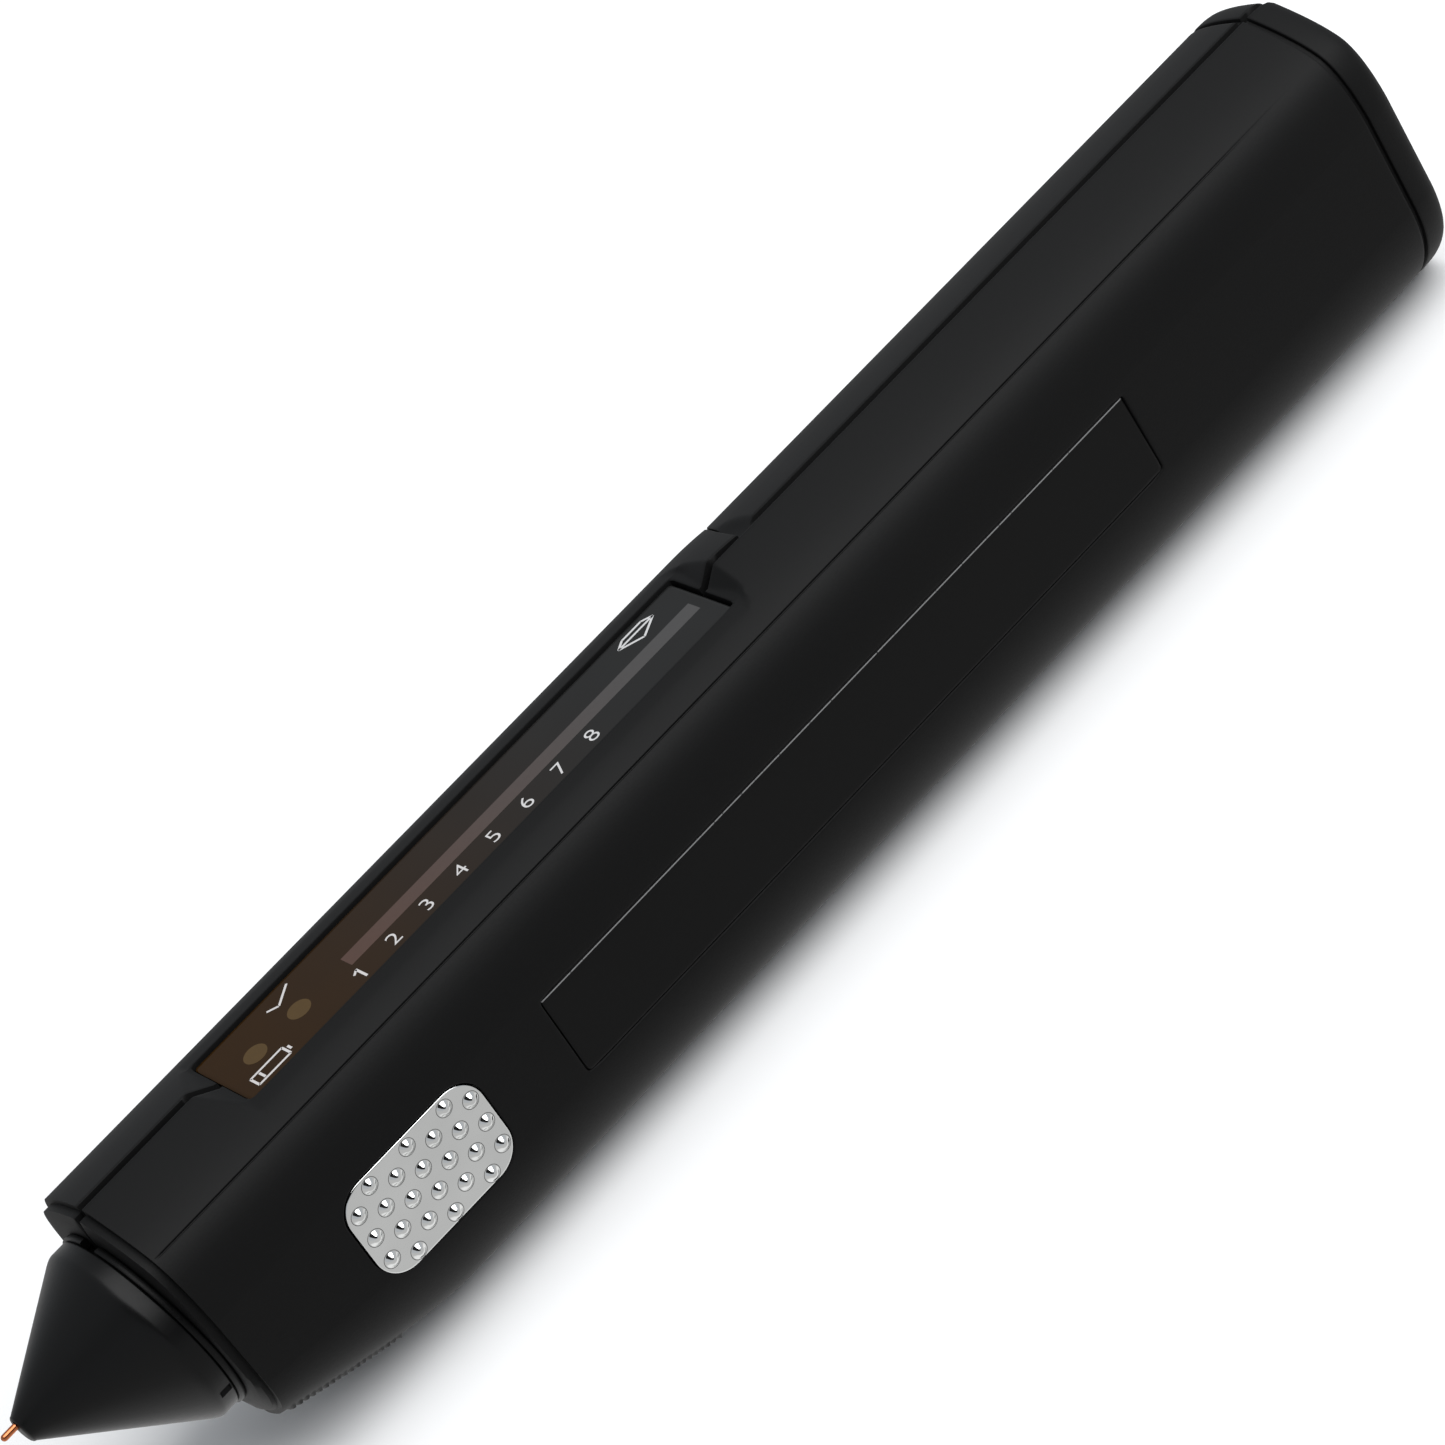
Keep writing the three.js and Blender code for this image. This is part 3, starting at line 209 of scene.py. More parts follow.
def thick_sheet(outer: Array, inner: Array, keep: Array | None = None) -> Mesh:
    """A closed wall between two grids of points that match line for line.

    Each kept cell gives a face on both grids, and each edge between a kept cell
    and a left-out one, or past the grid's border, gives a face across the wall.

    Args:
        outer: points of the outer grid, (rows, columns, 3).
        inner: points of the inner grid, same shape.
        keep: which cells stay, (rows-1, columns-1); all where left out.

    Returns:
        The closed mesh.
    """
    rows, columns = outer.shape[:2]
    cells = grid_faces(rows, columns)
    keep = np.ones(cells.shape[:2], bool) if keep is None else keep
    count = rows * columns
    skin = cells[keep]
    parts = [skin, skin[:, ::-1] + count]
    number = np.arange(count).reshape(rows, columns)
    padded = np.pad(keep, 1).astype(int)
    for change, first, second in (
        (np.diff(padded[1:-1], axis=1), number[:-1], number[1:]),
        (np.diff(padded[:, 1:-1], axis=0).T, number[:, 1:].T, number[:, :-1].T),
    ):
        for sign in (1, -1):
            a, b = first[change == sign], second[change == sign]
            parts.append(np.stack([a, b, b + count, a + count], -1)[:, ::sign])
    points = np.concatenate([outer.reshape(-1, 3), inner.reshape(-1, 3)])
    return Mesh(points, np.concatenate(parts))


def swept(rings: Array, close_rows: bool = False) -> Mesh:
    """Faces over rings of points, each ring closed on itself.

    Args:
        rings: points, (rings, points per ring, 3).
        close_rows: whether the last ring joins the first.

    Returns:
        The mesh; a ring whose points coincide makes a pole.
    """
    loops = np.concatenate([rings, rings[:, :1]], 1)
    loops = np.concatenate([loops, loops[:1]]) if close_rows else loops
    faces = grid_faces(*loops.shape[:2]).reshape(-1, 4)
    return Mesh(loops.reshape(-1, 3), faces)


def circle(count: int) -> Array:
    """Even angles round a whole turn."""
    return np.linspace(0, 2 * math.pi, count + 1)[:-1]


def linked(name: str, data: bpy.types.ID) -> bpy.types.Object:
    """Makes an object of its data and puts it into the scene.

    Args:
        name: the object's name.
        data: its mesh, curve, camera or light.

    Returns:
        The object, at the origin.
    """
    made = bpy.data.objects.new(name, data)
    bpy.context.scene.collection.objects.link(made)
    return made


def piece(name: str, mesh: Mesh, material: Material) -> bpy.types.Object:
    """Makes a finished object: doubles merged, faces outward, smooth with sharp folds.

    Args:
        name: the piece's name.
        mesh: points and faces in tester millimetres.
        material: its finish.

    Returns:
        The linked object, at the origin.
    """
    data = bpy.data.meshes.new(name)
    data.from_pydata(placed(mesh.points), [], mesh.faces.tolist())
    form = bmesh.new()
    form.from_mesh(data)
    bmesh.ops.remove_doubles(form, verts=form.verts, dist=MERGE)
    bmesh.ops.dissolve_degenerate(form, edges=form.edges, dist=MERGE)
    loose = [v for v in form.verts if not v.link_faces]
    bmesh.ops.delete(form, geom=loose, context="VERTS")
    bmesh.ops.recalc_face_normals(form, faces=form.faces)
    form.to_mesh(data)
    form.free()
    data.shade_smooth()
    data.set_sharp_from_angle(angle=SHARP)
    data.materials.append(material)
    LOG.info("%s: %d faces", name, len(data.polygons))
    return linked(name, data)


def fitted(made: bpy.types.Object, body: str, node: str) -> None:
    """Carries a piece on a body, in place of a CAD node.

    Args:
        made: the piece.
        body: the body that it moves with.
        node: the CAD node that it stands for.
    """
    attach(made, body)
    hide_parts(node)


# Body form


@dataclass(frozen=True)
class Outline:
    """One side of the body's section, measured along its skin from ridge to belly."""

    ridge: Span = (0.0, 0.0)
    crown_pull: Span = (5.976, 1.352)
    crease: Span = (7.836, 2.689)
    crease_pull: Span = (8.9, 3.453)
    shoulder_pull: Span = (10.05, 5.4)
    shoulder: Span = (10.15, 9.198)
    foot: Span = (9.947, 18.593)
    belly_pull: Span = (9.551, 25.187)
    belly_edge: Span = (3.045, 28.3)
    belly: Span = (0.0, 28.3)
    samples: int = 240
    smoothing: int = 9
    table: Array = field(init=False, repr=False, compare=False)

    def __post_init__(self) -> None:
        """Works out the dense table of length, y, drop and smoothed normal."""
        runs = [
            self.bend(self.ridge, self.crown_pull, self.crease),
            self.bend(self.crease, self.crease_pull, self.shoulder_pull, self.shoulder),
            self.bend(self.shoulder, self.foot),
            self.bend(self.foot, self.belly_pull, self.belly_edge),
            self.bend(self.belly_edge, self.belly),
        ]
        curve = np.concatenate([runs[0], *(run[1:] for run in runs[1:])])
        length = np.concatenate([[0], np.cumsum(np.hypot(*np.diff(curve, axis=0).T))])
        slope = np.gradient(curve, length, axis=0)
        window = np.hanning(self.smoothing)
        window /= window.sum()
        padded = [np.pad(n, self.smoothing // 2, "edge") for n in (slope[:, 1], -slope[:, 0])]
        soft = np.stack([np.convolve(n, window, "valid") for n in padded], -1)
        soft /= np.linalg.norm(soft, axis=1, keepdims=True)
        object.__setattr__(self, "table", np.column_stack([length, curve, soft]))

    def bend(self, *points: Span) -> Array:
        """Curve between the first and last points, pulled toward those between.

        Each pass takes (1-t) a + t b of every neighbouring pair, until one
        point is left for each t.

        Args:
            points: the two ends and the pulls between them, as (y, drop).

        Returns:
            Points of the curve, (samples, 2).
        """
        share = np.linspace(0, 1, self.samples)[:, None]
        runs = [np.array(point)[None] for point in points]
        while len(runs) > 1:
            runs = [(1 - share) * a + share * b for a, b in zip(runs, runs[1:])]
        return runs[0]

    @property
    def length(self) -> float:
        """Length of the skin from the ridge to the middle of the belly."""
        return float(self.table[-1, 0])

    def at(self, s: Array) -> tuple[Array, ...]:
        """y, drop, and the outward normal's y and drop at skin lengths s."""
        return tuple(np.interp(s, self.table[:, 0], self.table[:, k]) for k in range(1, 5))

    def length_where(self, column: int, value: float, first: int, last: int) -> float:
        """Skin length where a column of the table has a value.

        Args:
            column: 1 for y, 2 for drop.
            value: the value looked for.
            first: number of the first of the five curves to look along.
            last: number of the last one.

        Returns:
            The length.
        """
        step = self.samples - 1
        rows = self.table[first * step : (last + 1) * step + 1]
        rows = rows if rows[0, column] < rows[-1, column] else rows[::-1]
        return float(np.interp(value, rows[:, column], rows[:, 0]))

    def over_crown(self, y: float) -> float:
        """Skin length at a half width on the crown or shoulder."""
        return self.length_where(1, y, 0, 1)

    def down_flank(self, drop: float) -> float:
        """Skin length at a drop on the flank or belly curve."""
        return self.length_where(2, drop, 1, 3)

    def under_belly(self, y: float) -> float:
        """Skin length at a half width on the belly."""
        return self.length_where(1, y, 3, 4)


@dataclass(frozen=True)
class BodyForm:
    """The whole body's skin as a function of x and the length down its section."""

    outline: Outline = Outline()
    collar_front: float = 14.9
    collar_line: float = 15.8
    collar_step: float = 0.6
    collar_chamfer: float = 0.16
    collar_share: float = 0.55
    collar_rear: float = 16.6
    low_drop: Span = (15.0, 21.0)
    low_chamfer: float = 0.45
    low_share: float = 0.25
    nose_drop: float = 12.03
    nose_radius: float = 9.11
    bore_radius: float = 7.44
    chin_end: float = 34.5
    chin_length: float = 17.5
    chin_rise: float = 4.3
    chin_bend: float = 1.4
    chin_pivot: float = 10.0
    round_start: float = 150.84
    round_length: float = 2.9
    round_depth: float = 1.7
    round_least: float = 0.05
    round_power: float = 0.68
    dome: float = 0.1
    bow: float = 0.26
    bow_half: float = 10.0
    bow_zone: Span = (146.0, 150.0)

    @property
    def rear(self) -> float:
        """Where the end's rounding is complete."""
        return self.round_start + self.round_length

    def round_angle(self, x: Array) -> Array:
        """Angle of the end's rounding at an outer x, from 0 to a right angle."""
        share = np.clip((x - self.round_start) / self.round_length, 0, 1)
        return np.arcsin(share ** (1 / self.round_power))

    def bowed(self, y: Array) -> Array:
        """How far the rear end is bowed: bow * (1 - (y / half)^2)."""
        return self.bow * np.clip(1 - (y / self.bow_half) ** 2, 0, 1)

    def skin(self, x: Array, s: Array, inset: float = 0.0) -> tuple[Array, Array]:
        """Points and outward normals of the body, or of a form inset inside it.

        A point is the section's point moved inward by the inset, and by the
        inset of the collar or of the end's rounding. Below the pivot, the chin
        lifts it in proportion. The collar's front draws it to a round.

        Args:
            x: place along the body.
            s: length down the section.
            inset: distance inside the body.

        Returns:
            Points (..., 3) as x, y, drop, and normals of the same shape.
        """
        turn = self.round_angle(x)
        ahead, aside = np.sin(turn) ** self.round_power, np.clip(np.cos(turn), 0, 1) ** self.round_power
        own = max(self.round_depth - inset, self.round_least) * (1 - aside)
        own = own + np.where(x < self.collar_line - SLACK, self.collar_step, 0.0)
        y, drop, ny, nd = self.outline.at(s)
        total = inset + own
        y = y - total * ny
        drop = drop - total * nd
        lift = self.chin_rise * (np.clip(self.chin_end - x, 0, None) / self.chin_length) ** self.chin_bend
        drop = drop - lift * np.clip(drop - self.chin_pivot, 0, None) / (BODY_HEIGHT - self.chin_pivot)
        y, drop = self.narrowed(x, y, drop)
        along = np.where(turn > 0, self.round_start + (self.round_length - inset) * ahead, x)
        along = along + np.interp(x, self.bow_zone, [0, 1]) * self.bowed(y)
        flat = np.cos(turn)
        normals = np.stack([np.sin(turn), ny * flat, nd * flat], -1)
        return np.stack([along, np.maximum(y, SEAM_HALF), drop], -1), normals

    def narrowed(self, x: Array, y: Array, drop: Array) -> tuple[Array, Array]:
        """Draws the collar's front edge toward the round nose, further low down.

        Args:
            x: place along the body.
            y: half width there.
            drop: drop there.

        Returns:
            The moved half width and drop.
        """
        reach = np.hypot(y, drop - self.nose_drop)
        low = np.clip((drop - self.low_drop[0]) / (self.low_drop[1] - self.low_drop[0]), 0, 1)
        length = self.collar_chamfer + self.low_chamfer * low
        pull = np.clip((self.collar_front + length - x) / length, 0, 1)
        share = self.collar_share + self.low_share * low
        pull = pull * share * np.clip(1 - self.nose_radius / reach, 0, 1)
        return y * (1 - pull), drop + (self.nose_drop - drop) * pull

    def bore(self, s: Array, x: float) -> Array:
        """Ring of the round hole in the collar that the nose's spigot passes.

        Args:
            s: lengths down the section, which give the ring's angles.
            x: place of the ring.

        Returns:
            Points, one for each length.
        """
        y, drop, _, _ = self.outline.at(s)
        angle = np.arctan2(drop - self.nose_drop, y)
        half = np.maximum(self.bore_radius * np.cos(angle), SEAM_HALF)
        return np.stack([np.full_like(s, x), half, self.nose_drop + self.bore_radius * np.sin(angle)], -1)

    def round_marks(self, count: int) -> list[float]:
        """Places of rows over the end's rounding, at even angles."""
        turns = np.linspace(0, math.pi / 2, count)
        return list(self.round_start + self.round_length * np.sin(turns) ** self.round_power)

    def cap(self, s: Array, insets: Sequence[float], inset: float) -> Array:
        """Rows that close the rear end, each at its own distance from the seam plane.

        Every point keeps its height, and its y is the row's distance or the
        end's own half width there, whichever is less.

        Args:
            s: length down the section.
            insets: the rows' distances from the middle plane, falling.
            inset: distance inside the body.

        Returns:
            Points (rows, columns, 3).
        """
        edge, _ = self.skin(np.full_like(s, self.rear), s, inset)
        rows = np.minimum(np.array(insets)[:, None], edge[None, :, 1])
        share = rows / np.maximum(edge[:, 1].max(), 1)
        middle = BODY_HEIGHT / 2
        bulge = self.dome * (1 - share**2) * (1 - ((edge[:, 2] - middle) / middle) ** 2)
        along = edge[:, 0] + bulge + self.bowed(rows) - self.bowed(edge[:, 1])
        return np.stack([along, rows, np.broadcast_to(edge[:, 2], rows.shape)], -1)


@dataclass(frozen=True)
class Opening:
    """A rounded rectangle over x and a second coordinate, for recesses, plates and through openings."""

    x: Span
    s: Span
    corner: float
    reach: float = 1.2
    core: float = 0.3

    @property
    def half(self) -> Span:
        """Half its length and half its width."""
        return (self.x[1] - self.x[0]) / 2, (self.s[1] - self.s[0]) / 2

    def grown(self, by: float) -> "Opening":
        """The same outline moved outward."""
        x, s = ((span[0] - by, span[1] + by) for span in (self.x, self.s))
        return Opening(x, s, self.corner + by, self.reach)

    def distance(self, x: Array, s: Array) -> Array:
        """Distance to the square-cornered edge, the greater of the two, positive outside."""
        half_x, half_s = self.half
        return np.maximum(np.abs(x - sum(self.x) / 2) - half_x, np.abs(s - sum(self.s) / 2) - half_s)

    def bent(self, x: Array, s: Array) -> tuple[Array, Array]:
        """Bends grid lines round the corners, so that squares about each arc's middle become circles.

        A corner point at (p, q) from the middle of the arc moves to
        (p, q) * max(p, q) / hypot(p, q), and less so past the corner.

        Args:
            x: first coordinate.
            s: second coordinate.

        Returns:
            The moved coordinates.
        """
        middle_x, middle_s = sum(self.x) / 2, sum(self.s) / 2
        half_x, half_s = self.half
        p = np.abs(x - middle_x) - (half_x - self.corner)
        q = np.abs(s - middle_s) - (half_s - self.corner)
        most = np.maximum(p, q)
        share = np.clip((self.corner + self.reach - most) / (self.reach - self.core), 0, 1)
        share = share * share * (3 - 2 * share)
        inside = (p > 0) & (q > 0)
        change = np.where(inside, share * (most / np.maximum(np.hypot(p, q), 1e-9) - 1), 0.0)
        return x + np.sign(x - middle_x) * p * change, s + np.sign(s - middle_s) * q * change


@dataclass(frozen=True)
class Plate:
    """A plate with a rounded-rectangle outline, whose face may have a softened edge."""

    place: Opening
    spacing: Span
    soft: float = 0.0

    def mesh(self, face: Height, back: float, level: bool = False) -> Mesh:
        """Closed plate between a face and a flat back.

        Args:
            face: height of the face, or a function of the two coordinates.
            back: height of the back.
            level: True where the second coordinate is y, False where it is the drop.

        Returns:
            The closed mesh.
        """
        spans = self.place.x, self.place.s
        marks = [EDGE.within(span) if self.soft else span for span in spans]
        a, b = np.meshgrid(*(ruled(m, w) for m, w in zip(marks, self.spacing)), indexing="ij")
        x, s = self.place.bent(a, b)
        inside = [0.0, EDGE.near, EDGE.far]
        soft = np.interp(-self.place.distance(a, b), inside, [self.soft, EDGE.near_depth, 0.0])
        top = face(x, s) if callable(face) else np.full_like(x, face)
        under = np.full_like(x, back)
        top = top + soft * np.sign(under - top)
        grids = (np.stack([x, s, h] if level else [x, h, s], -1) for h in (top, under))
        return thick_sheet(*grids)


@dataclass(frozen=True)
class Trough:
    """The ramped trough round the display window, whose rear ramp is rounded toward its corners."""

    front: float = 29.39
    rear: float = 84.28
    front_slope: float = 0.596
    rear_slope: float = 0.841
    depth: float = 1.36
    half_width: float = 4.3
    side_slope: float = 0.2
    ramp_lead: float = 0.2
    corner_start: float = 3.4
    corner_pull: float = 0.16

    def drop(self, x: Array, y: Array) -> Array:
        """Depth of the floor, less up the two ramps and more past its half width.

        Args:
            x: place along the body.
            y: half width.

        Returns:
            Drop of the floor, above the crown where the trough ends.
        """
        lead = self.ramp_lead * np.minimum(y, self.corner_start)
        past_corner = np.clip(y - self.corner_start, 0, None)
        past = x - self.rear - lead + self.corner_pull * past_corner**2
        ramps = self.front_slope * np.clip(self.front - x, 0, None) + self.rear_slope * np.clip(past, 0, None)
        return self.depth - ramps + self.side_slope * np.clip(y - self.half_width, 0, None)


@dataclass(frozen=True)
class Scoop:
    """Thumb scoop at the front edge of the battery cover, part of an ellipsoid rolled with the crown."""

    x: float = 89.3
    y: float = 0.9
    surface: float = 0.22
    depth: float = 0.85
    radius: float = 3.0
    half_width: float = 8.0
    roll: float = 0.2
    above: float = -9.0

    def drop(self, x: Array, y: Array) -> Array:
        """Depth of the ellipsoid's underside, or far above the body outside it.

        With u along the crown's slope and w square to it, the surface is
        (x / radius)^2 + (u / half width)^2 + (w / radius)^2 = 1. Put in terms
        of the depth d below the middle, that is a d^2 + b d + c = 0.

        Args:
            x: place along the body.
            y: half width.

        Returns:
            Drop of the underside.
        """
        cos, sin = math.cos(self.roll), math.sin(self.roll)
        side, tall = 1 / self.half_width**2, 1 / self.radius**2
        across = y - self.y
        a = sin * sin * side + cos * cos * tall
        b = 2 * across * cos * sin * (side - tall)
        c = ((x - self.x) ** 2 + (across * sin) ** 2) * tall + (across * cos) ** 2 * side - 1
        room = b * b - 4 * a * c
        below = (np.sqrt(np.clip(room, 0, None)) - b) / (2 * a)
        return np.where(room > 0, self.surface + self.depth - self.radius + below, self.above)


def soft_max(a: Array, b: Array, width: float) -> Array:
    """Greater of two surfaces, raised by gap^2 * width / 4 where they meet.

    Args:
        a: first surface.
        b: second surface.
        width: difference of the two at which the round ends.

    Returns:
        The joined surface.
    """
    gap = np.clip(width - np.abs(a - b), 0, None) / width
    return np.maximum(a, b) + gap * gap * width / 4


class Side(Enum):
    """Which side of the seam plane a shell lies on."""

    LEFT = -1
    RIGHT = 1


@dataclass(frozen=True)
class Shell:
    """One moulded shell: its side, its ends, its depth below the body's form and its wall."""

    side: Side
    first: float
    last: float
    sink: float
    wall: float
    groove_half: float

    def groove_lines(self) -> list[float]:
        """Distances from the seam plane at which the shadow groove's edge needs lines."""
        half = self.groove_half
        return [SEAM_HALF, half - 0.14, half - 0.06, half, half + 0.05, half + 0.14, half + 0.41]


@dataclass(frozen=True)
class Casing:
    """The two moulded halves, the battery cover and the label plate."""

    form: BodyForm = BodyForm()
    trough: Trough = Trough()
    trough_rim: float = 5.8
    trough_soft: float = 0.12
    scoop: Scoop = Scoop()
    scoop_soft: float = 0.25
    crown_limit: float = 8.0
    wall: float = 1.7
    groove_half: float = 0.39
    groove_depth: float = 1.2
    ring_x: float = 150.52
    ring_half: float = 0.25
    ring_depth: float = 0.45
    ring_steps: tuple[float, ...] = (-2.0, -1.4, -1.0, -0.75, 0.75, 1.0, 1.4, 1.85)
    crease_depth: float = 0.14
    crease_profile: tuple[float, ...] = (-0.03, 0.07, 0.13, 0.22)
    crease_run: tuple[float, ...] = (16.0, 16.3, 132.0, 148.0)
    rib_start: float = 16.5
    rib_pitch: float = 0.62
    rib_count: int = 18
    rib_width: float = 0.32
    rib_height: float = 0.25
    rib_shares: tuple[float, ...] = (0.2, 0.42, 0.62)
    rib_drop: float = 17.0
    rib_half: Span = (7.2, 5.8)
    rib_end: float = 0.35
    window_x: Span = (29.65, 84.05)
    window_half: float = 4.32
    window_corner: float = 0.5
    window_floor: float = 3.43
    shelf: float = 1.15
    pad_x: Span = (28.05, 42.83)
    pad_drop: Span = (9.43, 19.01)
    pad_corner: float = 2.85
    label_x: Span = (50.5, 119.0)
    label_drop: Span = (10.0, 18.4)
    label_corner: float = 0.6
    label_face: float = 9.95
    label_depth: float = 0.35
    plate_gap: float = 0.15
    plate_corner: float = 0.5
    plate_thickness: float = 0.3
    button_x: Span = (49.85, 58.15)
    button_drop: Span = (7.95, 12.25)
    roof_x: Span = (26.0, 87.3)
    roof_half: float = 7.0
    roof_depth: float = 4.0
    cover_front: float = 89.3
    cover_groove_half: float = 0.7
    cover_arc: float = 28.0
    cover_sink: float = 0.2
    cover_wall: float = 1.6
    cover_gap: float = 0.12
    arc_reach: float = 5.0
    arc_soft: float = 0.1
    arc_fall: Span = (0.2, 3.2)
    arc_steps: tuple[float, ...] = (0.02, 0.05, 0.08, 0.11)
    tongue_x: Triple = (-2.2, 1.3, 3.6)
    tongue_half: Span = (4.4, 6.6)
    tongue_top: float = 2.0
    tongue_thickness: float = 0.75
    root_top: float = 1.65
    root_thickness: float = 0.4
    cap_rows: tuple[float, ...] = (9.0, 8.0, 7.0, 6.0, 5.0, 4.0, 3.0, 2.0, 1.2)
    cap_marks: int = 15
    widest: Span = (1.3, 0.75)
    collar_steps: tuple[float, ...] = (0.0, 0.05, 0.1, 0.16, 0.2, 0.5, 0.8)
    line_steps: tuple[float, ...] = (-0.015, 0.0, 0.04, 0.13, 0.3, 0.8)
    corner_gap: float = 0.4
    corner_margin: float = 0.2
    # Finer stretches along the body: the front ramp, the rear ramp, the bridge, the arc edge and the scoop
    fine_lengths: tuple[Triple, ...] = (
        (26.9, 29.6, 0.17),
        (84.1, 86.1, 0.17),
        (86.1, 89.0, 0.42),
        (89.0, 92.0, 0.14),
        (92.0, 97.0, 0.42),
    )
    chin_gap: Span = (16.1, 0.6)
    shoulder_gap: Span = (9.2, 0.42)
    belly_gap: Span = (18.6, 0.48)

    @property
    def window(self) -> Opening:
        """Pocket of the display window, as one rounded rectangle across the ridge."""
        reach = self.form.outline.over_crown(self.window_half)
        return Opening(self.window_x, (-reach, reach), self.window_corner, 0.8)

    @property
    def pad(self) -> Opening:
        """Opening of a contact pad."""
        return Opening(self.pad_x, self.flank_span(self.pad_drop), self.pad_corner)

    @property
    def label(self) -> Opening:
        """Recess of the label plate."""
        return Opening(self.label_x, self.flank_span(self.label_drop), self.label_corner, 0.8)

    @property
    def button(self) -> Opening:
        """Opening of the power button, its ends fully round."""
        span = self.flank_span(self.button_drop)
        return Opening(self.button_x, span, (span[1] - span[0]) / 2 - 0.02)

    def behind_pad(self, side: Side) -> Opening:
        """The opening behind the pad: the label on the left, the button on the right."""
        return self.label if side is Side.LEFT else self.button

    def flank_span(self, drops: Span) -> Span:
        """Skin lengths at two drops on the flank."""
        low, high = (self.form.outline.down_flank(d) for d in drops)
        return low, high

    def corner_zones(self, span: Span) -> list[Triple]:
        """Finer stretches over the rounded corners at both ends of the pad's opening.

        Args:
            span: the opening's ends along one coordinate.

        Returns:
            (start, end, widest gap) of both stretches.
        """
        (low, high), out = span, self.corner_margin
        inward = self.pad_corner
        return [(low - out, low + inward, self.corner_gap), (high - inward, high + out, self.corner_gap)]

    def section_lines(self, shell: Shell) -> Array:
        """Grid lines down the section, closer at the edges of every feature.

        Args:
            shell: the shell to be ruled.

        Returns:
            Skin lengths.
        """
        out = self.form.outline
        groove = shell.groove_lines()
        marks = [out.over_crown(y) for y in groove] + [out.length - y for y in groove]
        window = self.window.s[1]
        marks += EDGE.lines(window, 1)
        marks += [window - self.shelf, out.over_crown(self.roof_half)]
        crease, edge = out.over_crown(out.crease[0]), out.under_belly(out.belly_edge[0])
        for middle, steps in (
            (out.over_crown(self.trough_rim), (-0.2, 0.0, 0.2)),
            (crease, (-0.4, -0.16, *self.crease_profile, 0.45)),
            (edge, (-0.4, -0.15, 0.0, 0.15, 0.4)),
        ):
            marks += [middle + step for step in steps]
        marks += EDGE.around(self.pad.s) + EDGE.around(self.behind_pad(shell.side).s)
        zones = [
            (crease, out.down_flank(self.shoulder_gap[0]), self.shoulder_gap[1]),
            (out.down_flank(self.belly_gap[0]), edge, self.belly_gap[1]),
            *self.corner_zones(self.pad.s),
        ]
        return ruled(marks, self.widest[1], zones)

    def length_lines(self, shell: Shell) -> Array:
        """Grid lines along the body, closer at every feature.

        Args:
            shell: the shell to be ruled.

        Returns:
            Places along the body.
        """
        form, first, last = self.form, shell.first, shell.last
        marks = [first, last, form.chin_end, *form.round_marks(self.cap_marks), *self.roof_x]
        marks += [form.collar_front + step for step in self.collar_steps]
        marks += [form.collar_line + step for step in self.line_steps]
        for k in range(self.rib_count):
            middle = self.rib_start + (k + 0.5) * self.rib_pitch
            marks += [middle + way * share * self.rib_width for way in (-1, 1) for share in self.rib_shares]
        for opening in (self.window, self.pad, self.behind_pad(shell.side)):
            marks += EDGE.around(opening.x)
        marks += [self.window_x[0] + self.shelf, self.window_x[1] - self.shelf]
        marks += [self.ring_x + self.ring_half * step for step in self.ring_steps]
        zones = [*self.fine_lengths, *self.corner_zones(self.pad_x)]
        zones.append((self.chin_gap[0], form.chin_end, self.chin_gap[1]))
        if shell.side is Side.RIGHT:
            zones.append((*self.button_x, self.corner_gap))
            marks += [end + way * step for end, way in ((first, 1), (last, -1)) for step in self.arc_steps]
        return ruled([m for m in marks if first <= m <= last], self.widest[0], zones)

    def outer(self, x: Array, s: Array, shell: Shell, soft: Array) -> Array:
        """Outer skin with every recess, groove and rib worked into it.

        Args:
            x: grid of places along the body.
            s: grid of lengths down the section.
            shell: the shell it belongs to.
            soft: depth of the softening along its ends.

        Returns:
            Points as (x, y, drop), for the right-hand side.
        """
        openings = self.window, self.pad, self.behind_pad(shell.side)
        window_gap, pad_gap, other_gap = (o.distance(x, s) for o in openings)
        bent_x, bent_s = x, s
        for opening in openings:
            bent_x, bent_s = opening.bent(bent_x, bent_s)
        points, normals = self.form.skin(bent_x, bent_s, shell.sink)
        depth = self.grooves(x, points, shell) + self.crease_line(x, s) - self.ribs(x, points)
        if shell.side is Side.LEFT:
            face = np.clip(points[..., 1] - (self.label_face - self.label_depth), 0.05, None)
            depth = depth + EDGE.sunk(other_gap, 1.0) * np.where(other_gap < 0, face, 1.0)
        else:
            depth = depth + EDGE.sunk(other_gap, EDGE.depth)
        depth = depth + EDGE.sunk(pad_gap, EDGE.depth) + soft
        points = points - normals * depth[..., None]
        points[..., 1] = np.maximum(points[..., 1], SEAM_HALF)
        return self.sculpted_top(points, window_gap, shell)

    def grooves(self, x: Array, points: Array, shell: Shell) -> Array:
        """Depth of the shadow groove along the seam and of the ring round the rear end.

        Args:
            x: grid of places along the body.
            points: the skin's points.
            shell: the shell they belong to.

        Returns:
            Depth at each point.
        """
        seam = EDGE.sunk(points[..., 1] - shell.groove_half, self.groove_depth - shell.sink)
        ring = EDGE.sunk(np.abs(x - self.ring_x) - self.ring_half, self.ring_depth)
        return np.maximum(seam, ring)

